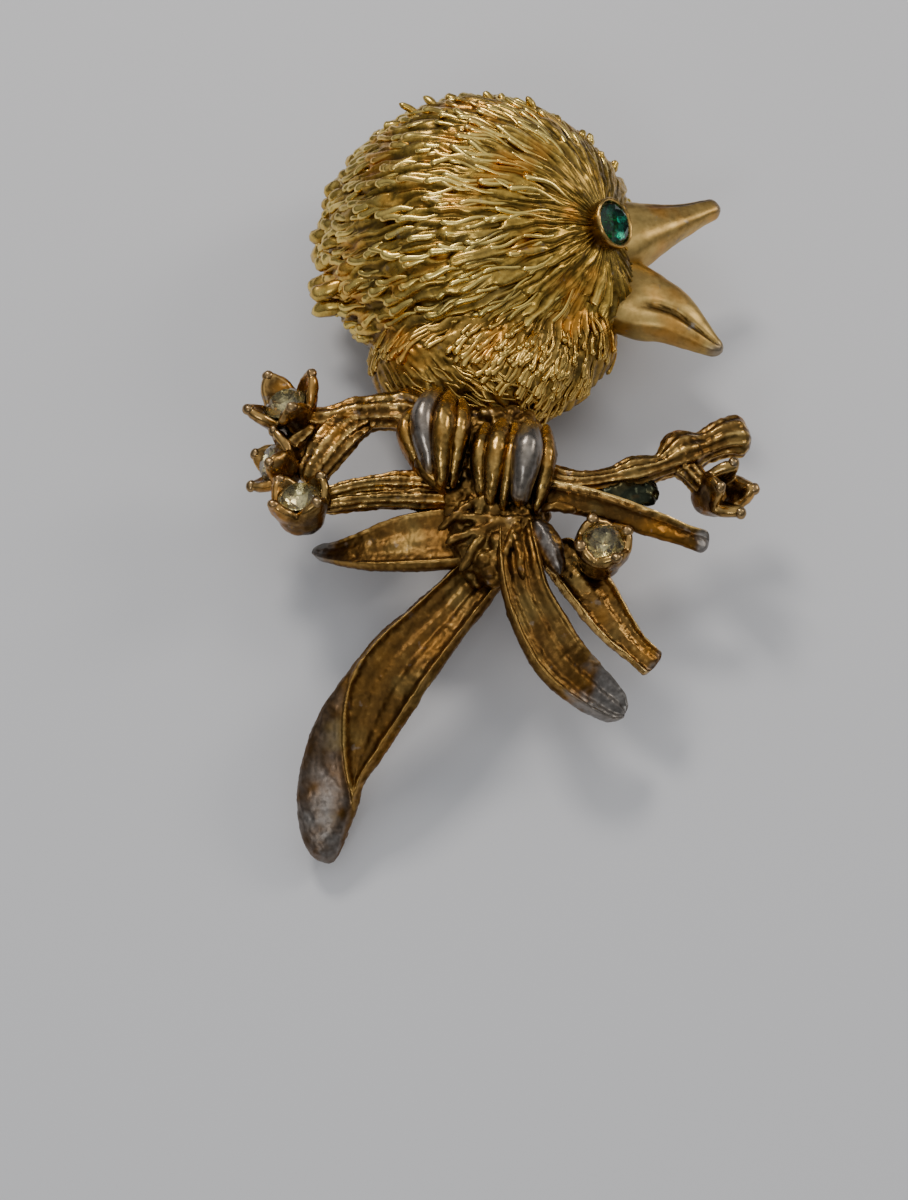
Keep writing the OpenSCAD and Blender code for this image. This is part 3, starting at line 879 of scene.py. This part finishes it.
LEFT_LEAF = [[-0.9, -5.9, 5.2, 1.5, 0.9], [-3.0, -6.1, 5.3, 1.65, 0.95],
             [-5.1, -6.2, 5.0, 1.5, 0.9], [-7.1, -6.3, 4.5, 1.0, 0.7],
             [-8.4, -6.15, 4.0, 0.6, 0.5], [-9.5, -5.85, 3.6, 0.35, 0.4]]
RIGHT_LEAF = [[1.6, -4.0, 6.0, 0.8, 0.7], [4.4, -4.8, 6.1, 0.75, 0.7], [6.9, -5.6, 5.8, 0.7, 0.65],
              [9.2, -6.15, 5.2, 0.62, 0.55], [9.8, -6.3, 5.1, 0.72, 0.6]]
SMALL_LEAF = [[1.3, -5.7, 6.5, 0.4, 0.4], [1.9, -7.0, 6.6, 0.68, 0.4], [2.5, -8.5, 6.2, 0.35, 0.3]]
TWIG_END = (0.5, 0.7)              # lengths over which most limbs round off
UPPER_LEFT_TWIG = (
    ([[-2.8, 0.7, 5.6, 1.0, 0.9], [-5.4, 0.85, 5.9, 0.95, 0.85], [-7.6, 0.5, 6.0, 0.85, 0.8],
      [-9.0, 0.1, 6.1, 0.75, 0.75], [-10.2, 0.2, 6.2, 0.7, 0.7]],
     ((0.3, 0.18), (0.62, 0.14)), 10, TWIG_END),
    ([[-6.6, 1.0, 5.6, 0.7, 0.5], [-8.1, -0.6, 6.3, 1.1, 0.6], [-9.1, -2.2, 6.2, 1.0, 0.55],
      [-9.7, -3.4, 5.9, 0.7, 0.55]], ((0.2, 0.1),), 11, TWIG_END),
    ([[-9.4, 0.2, 6.1, 0.6, 0.6], [-10.3, -0.9, 5.9, 0.55, 0.55], [-10.9, -2.0, 5.8, 0.6, 0.6]],
     (), 7, TWIG_END),
)
LOWER_LEFT_TWIG = (
    ([[-1.6, -3.4, 5.6, 0.7, 0.8], [-4.2, -3.25, 5.9, 0.55, 0.6], [-7.0, -3.55, 6.0, 0.42, 0.5],
      [-9.0, -4.1, 5.9, 0.5, 0.5]], ((0.5, 0.15),), 10, TWIG_END),
    ([[-1.6, -3.9, 5.4, 0.7, 0.8], [-4.2, -4.05, 5.6, 0.5, 0.6], [-7.0, -4.3, 5.8, 0.42, 0.5],
      [-9.0, -4.6, 5.8, 0.5, 0.5]], ((0.35, 0.15),), 10, TWIG_END),
)
RIGHT_TWIG = (
    ([[1.6, -3.0, 5.6, 1.0, 0.9], [3.6, -3.4, 5.9, 0.65, 0.7], [5.0, -3.2, 5.9, 0.55, 0.7],
      [6.5, -2.75, 5.9, 0.8, 0.8], [7.6, -2.45, 6.0, 0.62, 0.7], [8.7, -1.75, 6.1, 1.15, 0.85],
      [9.7, -1.35, 6.0, 0.85, 0.7], [10.8, -0.85, 6.1, 1.0, 0.8], [12.1, -0.6, 6.0, 1.15, 0.8]],
     ((0.42, 0.1), (0.7, 0.08), (0.95, 0.06)), 12, (0.5, 0.8)),
    ([[8.4, -1.9, 6.0, 0.7, 0.6], [9.2, -3.0, 6.0, 0.6, 0.55], [10.0, -4.0, 6.0, 0.6, 0.6]],
     ((0.3, 0.15),), 9, TWIG_END),
)
WEB = [[4.4, -3.7, 5.8, 0.5, 0.3], [5.5, -3.85, 6.0, 0.8, 0.35], [6.6, -3.85, 6.0, 0.85, 0.35],
       [7.5, -3.5, 5.8, 0.5, 0.3]]


def bark(knots, ridges):
    """Cross-section of a twig: lengthwise ridges and swellings at the knots."""
    def section(angle, along):
        swell = 1.0
        fade = smoothstep(0.0, 0.08, along) * smoothstep(1.0, 0.92, along)
        for place, gain in knots:
            swell = swell + gain * bell(along, place, 0.05)
        lines = 0.05 * np.cos(ridges * angle + 4 * along) + 0.04 * np.cos(3 * angle - 6 * along)
        lines = 1 + fade * lines
        return np.cos(angle) * swell * lines, np.sin(angle) * swell * lines
    return section


def twig_shape(limbs):
    """Limbs with bark. Each is its stations, its knots as (place, gain), its count of ridges and
    the lengths over which its two ends round off."""
    shape = Shape()
    sides, count = 88, 170
    for stations, knots, ridges, end in limbs:
        rings, along = sweep(stations, count, sides, bark(knots, ridges), end)
        rings, bumps, grains = roughen(rings, (0.045, 0.8, 3), (0.03, 0.28, 2))
        lines = np.cos(ridges * circle(sides) + 4 * along)
        # the bark's ridges and bumps painted lighter as highlight, its grooves darker as painted
        # shade
        shape.add_rings(rings, 0.4 + 0.26 * lines + 0.24 * bumps + 0.2 * grains)
    return shape


def leaf_outline(angle, power, height):
    """A leaf's cross-section from the height of its face, with sharp edges and a round back."""
    a = np.cos(angle)
    top = (1 - a ** 2).clip(0) ** power * height
    return a, np.where(np.sin(angle) > 0, top, -0.85 * (1 - a ** 2).clip(0) ** 0.5)


def channel(rim, floor, veins, vein_height):
    """Cross-section of a leaf: raised rims, a sunk floor with veins, and a round back."""
    def section(angle, along):
        out = np.abs(np.cos(angle))
        ridge = bell(out, 0.84, 0.1)
        sunk = np.clip(1 - (out / 0.78) ** 2, 0, 1)
        lines = np.cos(TAU * veins * np.cos(angle) / 2) * smoothstep(0.8, 0.6, out)
        height = 0.4 + rim * ridge - floor * sunk + vein_height * lines
        return leaf_outline(angle, 0.3, height)
    return section


def leaf_shape(stations, rim, floor, veins, vein_height, wear_from, end=(0.6, 0.7), rough=0.045):
    """A leaf with a channel in its face, worn to grey from a place along it to its tip."""
    sides, count = 96, 190
    rings, along = sweep(stations, count, sides, channel(rim, floor, veins, vein_height), end)
    rings, bumps, grains = roughen(rings, (rough, 0.7, 4), (0.018, 0.22, 2))
    angle = circle(sides)
    over = np.sin(angle) > 0
    crest = bell(np.abs(np.cos(angle)), 0.86, 0.12)
    lines = np.cos(TAU * veins * np.cos(angle) / 2)
    # the raised rims painted lighter as highlight, the sunk channel between them darker as painted
    # shade
    relief = np.where(over, 0.34 + 0.46 * crest + vein_height * lines, 0.45)
    relief = relief + 0.14 * bumps + 0.14 * grains
    wear_and_reflection = 0.9 * smoothstep(wear_from, wear_from + 0.12, along + 0.07 * bumps + 0.05 * crest)
    return Shape().add_rings(rings, relief, wear_and_reflection)


def long_leaf_shape():
    """The tail leaf: a granular channel between two rims. Its outer rim widens into a worn
    rounded lobe that curls over the tip and closes the channel."""
    sides, count = 128, 230
    right = -0.82

    def heights(a, along):
        edge = 0.8 - 1.75 * smoothstep(0.46, 0.88, along)
        room = np.clip(edge - right, 0.02, None)
        place = np.clip((a - right) / room, 0, 1)
        sunk = (4 * place * (1 - place)) ** 0.6 * np.clip(room / 1.4, 0, 1)
        rims = bell(a, right, 0.07) + bell(a, edge, 0.07)
        rims = rims * (1 - smoothstep(0.76, 0.88, along))
        lobe = smoothstep(edge, edge + 0.25, a) * smoothstep(0.4, 0.75, along)
        veins = np.cos(TAU * 3.5 * place) * sunk
        return sunk, rims, lobe, veins

    def section(angle, along):
        sunk, rims, lobe, veins = heights(np.cos(angle), along)
        height = 0.55 - 0.6 * sunk + 0.28 * rims + 0.3 * lobe + 0.05 * veins
        return leaf_outline(angle, 0.35, height)

    rings, along = sweep(LONG_LEAF, count, sides, section, (0.6, 0.8))
    angle = circle(sides)
    sunk, rims, lobe, veins = heights(np.cos(angle) + 0 * along, along)
    rings, bumps, grains = roughen(rings, (0.05, 0.8, 3), (0.022, 0.2, 2))
    lumps = bell(along, 0.5, 0.06) * rims
    rings = rings + grid_normals(rings) * (0.12 * lumps * rough_noise(rings, 0.5, 1))[..., None]
    over = np.sin(angle) > 0
    # the rims painted lighter as highlight; the channel and a line in the crease inside the right
    # rim darker as painted shade
    relief = np.where(over, 0.42 - 0.14 * sunk + 0.4 * np.clip(rims, 0, 1) + 0.08 * veins, 0.45)
    dark_lines = bell(np.cos(angle) - right, 0.12, 0.05) * sunk * over
    relief = np.clip(relief - 0.35 * dark_lines + 0.1 * bumps + 0.16 * grains, 0, 1)
    wear_and_reflection = np.where(over, lobe, smoothstep(0.85, 0.95, along)) * (0.42 + 0.45 * bumps)
    wear_and_reflection = wear_and_reflection * (0.45 + 0.65 * smoothstep(0.66, 0.9, along))
    relief = relief - (0.22 + 0.1 * smoothstep(0.9, 0.7, along)) * lobe * over
    relief = relief - 0.25 * smoothstep(0.9, 0.98, along)
    return Shape().add_rings(rings, relief, np.clip(wear_and_reflection, 0, 0.85))


def right_leaf_shape():
    """A strap with a raised ridge along its far edge, painted bright there as a highlight, a plain
    dark near face and a worn round end.
    """
    def ridge_at(angle):
        return bell(angle, 0.62 * math.pi, 0.14)

    def section(angle, along):
        return np.cos(angle), 0.65 * np.sin(angle) + 0.6 * ridge_at(angle)

    sides, count = 88, 170
    rings, along = sweep(RIGHT_LEAF, count, sides, section, (0.6, 0.5), 0.35)
    rings, bumps, grains = roughen(rings, (0.035, 0.8, 3), (0.018, 0.25, 2))
    # the ridge painted bright as highlight; the rest of the strap is left dark
    relief = 1.1 * ridge_at(circle(sides)) + 0.14 * bumps + 0.14 * grains
    return Shape().add_rings(rings, relief, 0.9 * smoothstep(0.9, 0.96, along + 0.03 * bumps))


def grey_leaf_shape():
    """A small rounded leaf, painted grey along its top as a reflection of the sky."""
    def section(angle, along):
        middle = bell(angle, 0.5 * math.pi, 0.35)
        return np.cos(angle), np.sin(angle) * (0.75 + 0.45 * middle)

    sides = 56
    rings, along = sweep(SMALL_LEAF, 80, sides, section)
    rings, bumps = roughen(rings, (0.05, 0.45, 3))
    up = np.sin(circle(sides))
    # the upward face painted grey as a reflection of the sky
    return Shape().add_rings(rings, 0.4 - 0.1 * up + 0.25 * bumps,
                             0.75 * smoothstep(0.75, 0.97, up) * smoothstep(0.0, 0.3, along))


def web_shape():
    """A dark web put in the gap between the right twig and the leaf under it, as painted shade
    there.
    """
    rings, _ = sweep(WEB, 50, 36)
    rings, bumps = roughen(rings, (0.15, 0.55, 3))
    return Shape().add_rings(rings, 0.35 + 0.4 * bumps)


# ---- hub ----

# from, to and half width of each strand of solder
HUB_STRANDS = (
    ((1.0, -5.6, 6.6), (-3.0, -6.9, 6.3), 0.26), ((0.2, -5.9, 6.7), (-3.1, -5.5, 6.2), 0.22),
    ((0.6, -6.0, 6.8), (-0.4, -8.6, 6.4), 0.24), ((-1.2, -4.6, 6.7), (-3.3, -6.2, 6.2), 0.2),
    ((1.6, -5.2, 6.7), (3.4, -5.3, 6.6), 0.26), ((-1.0, -6.4, 6.6), (-2.2, -8.4, 6.1), 0.24),
    ((1.7, -5.8, 6.6), (2.6, -8.0, 6.2), 0.22), ((0.4, -6.6, 6.9), (0.7, -9.2, 6.9), 0.24),
)
HUB_LIMB = [[-0.6, 1.0, 5.5, 2.2, 1.2], [-0.3, -3.4, 5.5, 2.3, 1.2], [-0.4, -6.4, 5.4, 2.1, 1.1],
            [-0.4, -8.8, 5.2, 1.2, 0.8]]
GRANULES = 420
FUSING = 0.075                     # voxel size that runs them together
POLE = 0.05                        # radians left out at each pole of a ball


def ball(steps, sides):
    """Rings of a ball of radius 1."""
    step = np.linspace(POLE, math.pi - POLE, steps)[:, None]
    angle = circle(sides)
    return np.stack([np.sin(step) * np.cos(angle), np.sin(step) * np.sin(angle),
                     np.cos(step) + 0 * angle], -1)


def vertex_values(mesh, key):
    values = np.empty(len(mesh.vertices) * 3)
    mesh.vertices.foreach_get(key, values)
    return values.reshape(-1, 3)


def hub_piece(material):
    """The lumpy soldered centre: a limb, many granules and a few strands, run together."""
    count, sides = 70, 60
    rings, _ = sweep(HUB_LIMB, count, sides, end=(1.2, 1.2))
    rings, _ = roughen(rings, (0.2, 1.6, 3))
    shape = Shape().add_rings(rings)
    for _ in range(GRANULES):
        t = rng.uniform(0.05, 0.98)
        turn = rng.uniform(-0.25, math.pi + 0.25)
        at = rings[int(t * (count - 1)), int(turn / TAU * sides) % sides]
        radius = rng.uniform(0.12, 0.33) * rng.choice([1.0, 1.0, 1.5])
        stretch = np.array([rng.uniform(0.8, 1.4), rng.uniform(0.8, 1.4), 1.0])
        shape.add_rings((at + ball(8, 12) * radius * stretch)[:, ::-1])
    for first, last, wide in HUB_STRANDS:
        bowed = [*((np.array(first) + np.array(last)) / 2 + [0, 0, 0.25])]
        strand, _ = sweep([[*first, wide, wide], [*bowed, wide, wide], [*last, wide, wide]], 24, 12)
        strand, _ = roughen(strand, (0.06, 0.5, 3))
        shape.add_rings(strand)
    piece = make_piece("solder_hub", shape, material, ("hub",), "spray_gold")
    remesh = piece.modifiers.new("fuse", "REMESH")
    remesh.mode = "VOXEL"
    remesh.voxel_size = FUSING * MM
    relax = piece.modifiers.new("relax", "SMOOTH")
    relax.factor = 0.5
    relax.iterations = 2
    fused = bpy.data.meshes.new_from_object(
        piece.evaluated_get(bpy.context.evaluated_depsgraph_get()))
    piece.modifiers.clear()
    points, normals = vertex_values(fused, "co"), vertex_values(fused, "normal")
    bumps = rough_noise(points / MM, 0.45, 3)
    lumps = rough_noise(points / MM, 1.3, 2)
    points = points + normals * (0.05 * MM * bumps)[:, None]
    fused.vertices.foreach_set("co", points.ravel())
    # raised bumps painted lighter as highlight and dips darker as painted shade; the wear follows
    # the larger lumps
    dress(fused, material, np.clip(0.45 + 0.35 * bumps + 0.15 * lumps, 0, 1),
          np.clip(0.6 * (lumps - 0.55), 0, 1))
    piece.data = fused


# ---- settings and stones ----

STONE_RADIUS = 1.05
EYE_STONE_RADIUS = 1.13
PETALS = 4
# at, facing, depth, flare, height of petals and gaps, turn of the petals, wall, height of the floor
SETTINGS = {
    "upper_left": ([-10.8, 0.6, 7.0], [-0.3, 0.3, 0.9], 1.5, 0.6, 0.75, -0.3, 0.55, 0.36, -0.8),
    "outer_left": ([-11.4, -2.2, 6.0], [-0.85, 0.1, 0.5], 1.5, 0.3, 0.55, -0.2, 0.9, 0.36, -0.8),
    "lower_left": ([-9.9, -4.7, 6.9], [-0.1, 0.4, 0.9], 1.9, 0.3, 0.4, -0.25, 0.8, 0.36, -0.8),
    "right": ([4.5, -7.3, 7.2], [0.05, 0.15, 0.98], 2.2, 0.05, 0.25, -0.1, 0.4, 0.36, -0.8),
    "far_right": ([10.7, -4.0, 6.3], [0.6, -0.2, 0.75], 1.9, 0.05, 0.65, -0.2, 0.3, 0.5, -0.6),
}


def aimed(at, direction):
    """Local axes at a setting: two across it and one the way it faces."""
    facing = unit(direction)
    first = unit(np.cross([0.0, 1.0, 0.0], facing))
    return np.array(at, float), first, np.cross(facing, first), facing


def lathe(axes, outline, sides):
    """Rings from an outline of (radius, height) pairs turned round a setting's own axis."""
    at, first, second, facing = axes
    angle = circle(sides).T
    ray = first * np.cos(angle) + second * np.sin(angle)
    return np.array([at + ray * radius + facing * height for radius, height in outline])


def cup_shape(at, direction, depth, flare, tall, gap, turn, wall, floor):
    """A tulip cup: one wall that rises into four broad petals, with a bead on each petal's tip."""
    at, first, second, facing = aimed(at, direction)
    centre = 0.08                  # radius of the ends of the profile
    angle = circle(112)[0]
    ray = first * np.cos(angle)[:, None] + second * np.sin(angle)[:, None]
    petal = (0.5 + 0.5 * np.cos(PETALS * (angle - turn))) ** 0.6
    rim = gap + (tall - gap) * petal
    spread = STONE_RADIUS + 0.25 + flare * petal
    foot = 0.5 * STONE_RADIUS
    # the third value of each profile point is its shading: low at the foot, rising up the wall to a
    # painted highlight on the petals' rims, then falling inside to painted shade at the floor
    profile = [(centre + 0 * angle, -depth + 0 * angle, 0.2)]
    for u in np.linspace(0, 1, 20):
        belly = 0.05 * math.sin(9 * u)
        profile.append((foot + (spread - foot) * math.sin(0.5 * math.pi * u ** 0.75) + belly,
                        -depth + (rim + depth) * u, 0.2 + 0.45 * u))
    for u in (0.25, 0.6, 0.9):
        profile.append((spread - wall * u, rim + 0.35 * wall * math.sin(math.pi * u), 0.85))
    for u in np.linspace(0, 1, 12):
        profile.append(((spread - wall) * (1 - u) + 0.5 * u, rim + (floor - rim) * u,
                        0.55 - 0.35 * u))
    profile.append((centre + 0 * angle, floor + 0 * angle, 0.05))
    rings = np.array([at + ray * radius[:, None] + facing * height[:, None]
                      for radius, height, _ in profile])
    rings, bumps = roughen(rings, (0.045, 0.5, 3))
    tones = np.array([tone for _, _, tone in profile])[:, None]
    # the gaps between petals painted a little darker as shade
    shape = Shape().add_rings(rings, tones + 0.22 * bumps - 0.1 * (1 - petal))
    bead = [(0.3 * math.sin(a), -0.26 * math.cos(a)) for a in np.linspace(POLE, math.pi - POLE, 12)]
    for own in range(PETALS):
        tip = turn + TAU * own / PETALS
        out = first * math.cos(tip) + second * math.sin(tip)
        middle = at + out * (STONE_RADIUS + 0.12 + flare) + facing * tall
        rings, _ = roughen(lathe((middle, first, second, facing), bead, 20), (0.04, 0.4, 3))
        shape.add_rings(rings, 0.7, 0.2)
    return shape


def brilliant(axes, radius, lift=0.0):
    """A round cut stone: table, crown, girdle and foiled pavilion, with eight-fold facets. It
    returns the points, the faces that are bare and those that are foiled."""
    at, first, second, facing = axes

    def ring(count, reach, offset, height):
        turns = (np.arange(count) + offset) * TAU / count
        out = first * np.cos(turns)[:, None] + second * np.sin(turns)[:, None]
        return at + out * reach * radius + facing * (height * radius + lift)

    points = np.concatenate([ring(8, 0.56, 0, 0.42), ring(8, 0.8, 0.5, 0.27),
                             ring(16, 0.985, 0, 0.04), ring(16, 0.985, 0, -0.04),
                             ring(8, 0.5, 0.5, -0.42), ring(1, 0, 0, -0.72)])
    star, girdle, under, half, tip = 8, 16, 32, 48, 56    # each ring's first point
    faces, backs = [list(range(8))], []
    for i in range(8):
        n = (i + 1) % 8
        left, middle, right = 2 * i, 2 * i + 1, (2 * i + 2) % 16
        faces += [[i, star + i, n],
                  [n, star + i, girdle + right, star + n],
                  [star + i, girdle + middle, girdle + right],
                  [star + i, girdle + left, girdle + middle]]
        backs += [[under + left, half + i, under + middle],
                  [under + middle, half + i, under + right],
                  [half + i, half + n, under + right], [tip, half + n, half + i]]
    for i in range(16):
        n = (i + 1) % 16
        faces += [[girdle + i, under + i, under + n, girdle + n]]
    return points, faces, backs


def stone_piece(name, node, slot, axes, radius, clear, backing, lift=0.0):
    points, faces, backs = brilliant(axes, radius, lift)
    shape = Shape()
    shape.add(points, faces + backs, 0.5, 0.0)
    piece = make_piece(name, shape, clear, (node,), slot, smooth=False)
    piece.data.materials.append(backing)
    for index in range(len(faces), len(faces) + len(backs)):
        piece.data.polygons[index].material_index = 1


def bezel_shape():
    """The eye's rim: a tube sunk in the head with an edge rolled in over the stone."""
    outline = [(0.05, -1.0), (1.22, -1.0), (1.3, -0.3), (1.34, 0.05), (1.31, 0.18), (1.25, 0.24),
               (1.17, 0.2), (1.12, 0.1), (1.09, 0.0), (0.7, -0.5), (0.05, -0.6)]
    rings, bumps = roughen(lathe(aimed(EYE_PLACE, EYE_FACING), outline, 96), (0.025, 0.5, 3))
    # lightest on top of the rolled edge as painted highlight, darker down the sunk tube and under
    # the stone as painted shade
    relief = np.interp(np.arange(len(outline)), [0, 3, 5, 7, 10], [0.2, 0.5, 1.0, 0.7, 0.1])
    return Shape().add_rings(rings, relief[:, None] + 0.2 * bumps)


# ---- everything ----

add_camera()
add_light()
add_floor()

bird_gold = gold("bird_gold", (0.16, 0.095, 0.02), (0.54, 0.33, 0.065), (0.97, 0.71, 0.20),
                 spots=0.4)
breast_gold = gold("breast_gold", (0.12, 0.065, 0.014), (0.43, 0.25, 0.055), (0.78, 0.52, 0.14),
                   spots=0.2)
beak_gold = gold("beak_gold", (0.12, 0.07, 0.02), (0.46, 0.29, 0.09), (0.66, 0.45, 0.15),
                 (0.32, 0.48))
foot_gold = gold("polished_gold", (0.11, 0.06, 0.016), (0.26, 0.145, 0.038), (0.62, 0.38, 0.11),
                 (0.2, 0.34), bump=0.1, worn_rough=0.24, spots=0.1, warmth=0.3)
# darker and browner than the bird's gold: partly the spray's own reddish-brown plate, partly
# painted shade, as the spray lies in shade
spray_gold = gold("spray_gold", (0.085, 0.042, 0.012), (0.15, 0.076, 0.02), (0.38, 0.22, 0.062),
                  (0.3, 0.48), spots=0.25, warmth=0.1)
twig_gold = gold("twig_gold", (0.08, 0.04, 0.011), (0.24, 0.125, 0.034), (0.76, 0.49, 0.16),
                 (0.18, 0.38), spots=0.3, warmth=0.3)
cup_gold = gold("cup_gold", (0.07, 0.034, 0.01), (0.15, 0.08, 0.024), (0.50, 0.30, 0.10),
                (0.16, 0.34), warmth=0.35)
# near black with a green tint: painted shade for the gap under the right twig
shade_web_gold = gold("shade_web_gold", (0.012, 0.013, 0.008), (0.028, 0.032, 0.02), (0.09, 0.095, 0.05),
                spots=0.1)
brass = wire_metal("finding_brass", (0.70, 0.52, 0.24), 0.24, 0.3)
steel = wire_metal("pin_steel", (0.62, 0.60, 0.57), 0.16, 0.2)
clear_glass = glass("clear_glass", (0.95, 0.90, 0.70))
green_glass = glass("green_glass", (0.0, 0.33, 0.24))
clear_foil = foil("clear_foil", (0.78, 0.68, 0.42))
green_foil = foil("green_foil", (0.02, 0.42, 0.32))

# name, shape, material, the node it replaces if any, and slot
for row in (
    ("head_casting", head_shape(), bird_gold, ("bird_head",), "bird_gold"),
    ("head_locks", head_locks_shape(), bird_gold, (), "bird_gold"),
    ("breast_casting", breast_shape(), breast_gold, ("bird_body",), "bird_gold"),
    ("breast_hair", breast_hair_shape(), breast_gold, (), "bird_gold"),
    ("upper_mandible", beak_shape(UPPER_BEAK, 2.0, 0.2, 0.05, 0.85), beak_gold, ("upper_beak",),
     "beak_gold"),
    ("lower_mandible", beak_shape(LOWER_BEAK, 1.0, 0.6, 0.32, 0.93), beak_gold, ("lower_beak",),
     "beak_gold"),
    ("left_toes", foot_shape(LEFT_TOES), foot_gold, ("left_foot",), "polished_gold"),
    ("right_toes", foot_shape(RIGHT_TOES), foot_gold, ("right_foot",), "polished_gold"),
    ("eye_rim", bezel_shape(), foot_gold, ("eye_bezel",), "polished_gold"),
):
    make_piece(*row)
stone_piece("eye_emerald", "eye_stone", "green_glass", aimed(EYE_PLACE, EYE_FACING),
            EYE_STONE_RADIUS, green_glass, green_foil, 0.02)

for row in (
    ("upper_left_branch", twig_shape(UPPER_LEFT_TWIG), twig_gold, ("upper_left_twig",),
     "spray_gold"),
    ("lower_left_branch", twig_shape(LOWER_LEFT_TWIG), twig_gold, ("lower_left_twig",),
     "spray_gold"),
    ("right_branch", twig_shape(RIGHT_TWIG), twig_gold, ("right_twig",), "spray_gold"),
    ("painted_shade_web", web_shape(), shade_web_gold, (), "spray_gold"),
    ("long_blade", long_leaf_shape(), spray_gold, ("long_leaf",), "spray_gold"),
    ("centre_blade", leaf_shape(CENTRE_LEAF, 0.4, 0.15, 3, 0.1, 0.74), spray_gold,
     ("centre_leaf",), "spray_gold"),
    ("lower_right_blade", leaf_shape(LOWER_RIGHT_LEAF, 0.45, 0.2, 2, 0.1, 0.95, (0.6, 0.25)),
     twig_gold, ("lower_right_leaf",), "spray_gold"),
    ("left_blade", leaf_shape(LEFT_LEAF, 0.3, 0.2, 3, 0.03, 0.84, rough=0.03), spray_gold,
     ("left_leaf",), "spray_gold"),
    # the right blade takes the lighter twig gold so that its ridge's painted highlight comes out
    # bright
    ("right_blade", right_leaf_shape(), twig_gold, ("right_leaf",), "spray_gold"),
    ("grey_leaf", grey_leaf_shape(), spray_gold, ("small_leaf",), "polished_gold"),
):
    make_piece(*row)
hub_piece(spray_gold)

for name, setting in SETTINGS.items():
    make_piece("flower_" + name, cup_shape(*setting), cup_gold, ("cup_" + name,), "cup_gold")
    if name != "far_right":
        stone_piece("rhinestone_" + name, "stone_" + name, "clear_glass", aimed(*setting[:2]),
                    STONE_RADIUS, clear_glass, clear_foil)

for node, material in (("pin_bar", brass), ("hinge_rivet", brass), ("catch_body", brass),
                       ("catch_rotor", brass), ("pin_stem", steel)):
    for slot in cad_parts[node].material_slots:
        slot.material = material
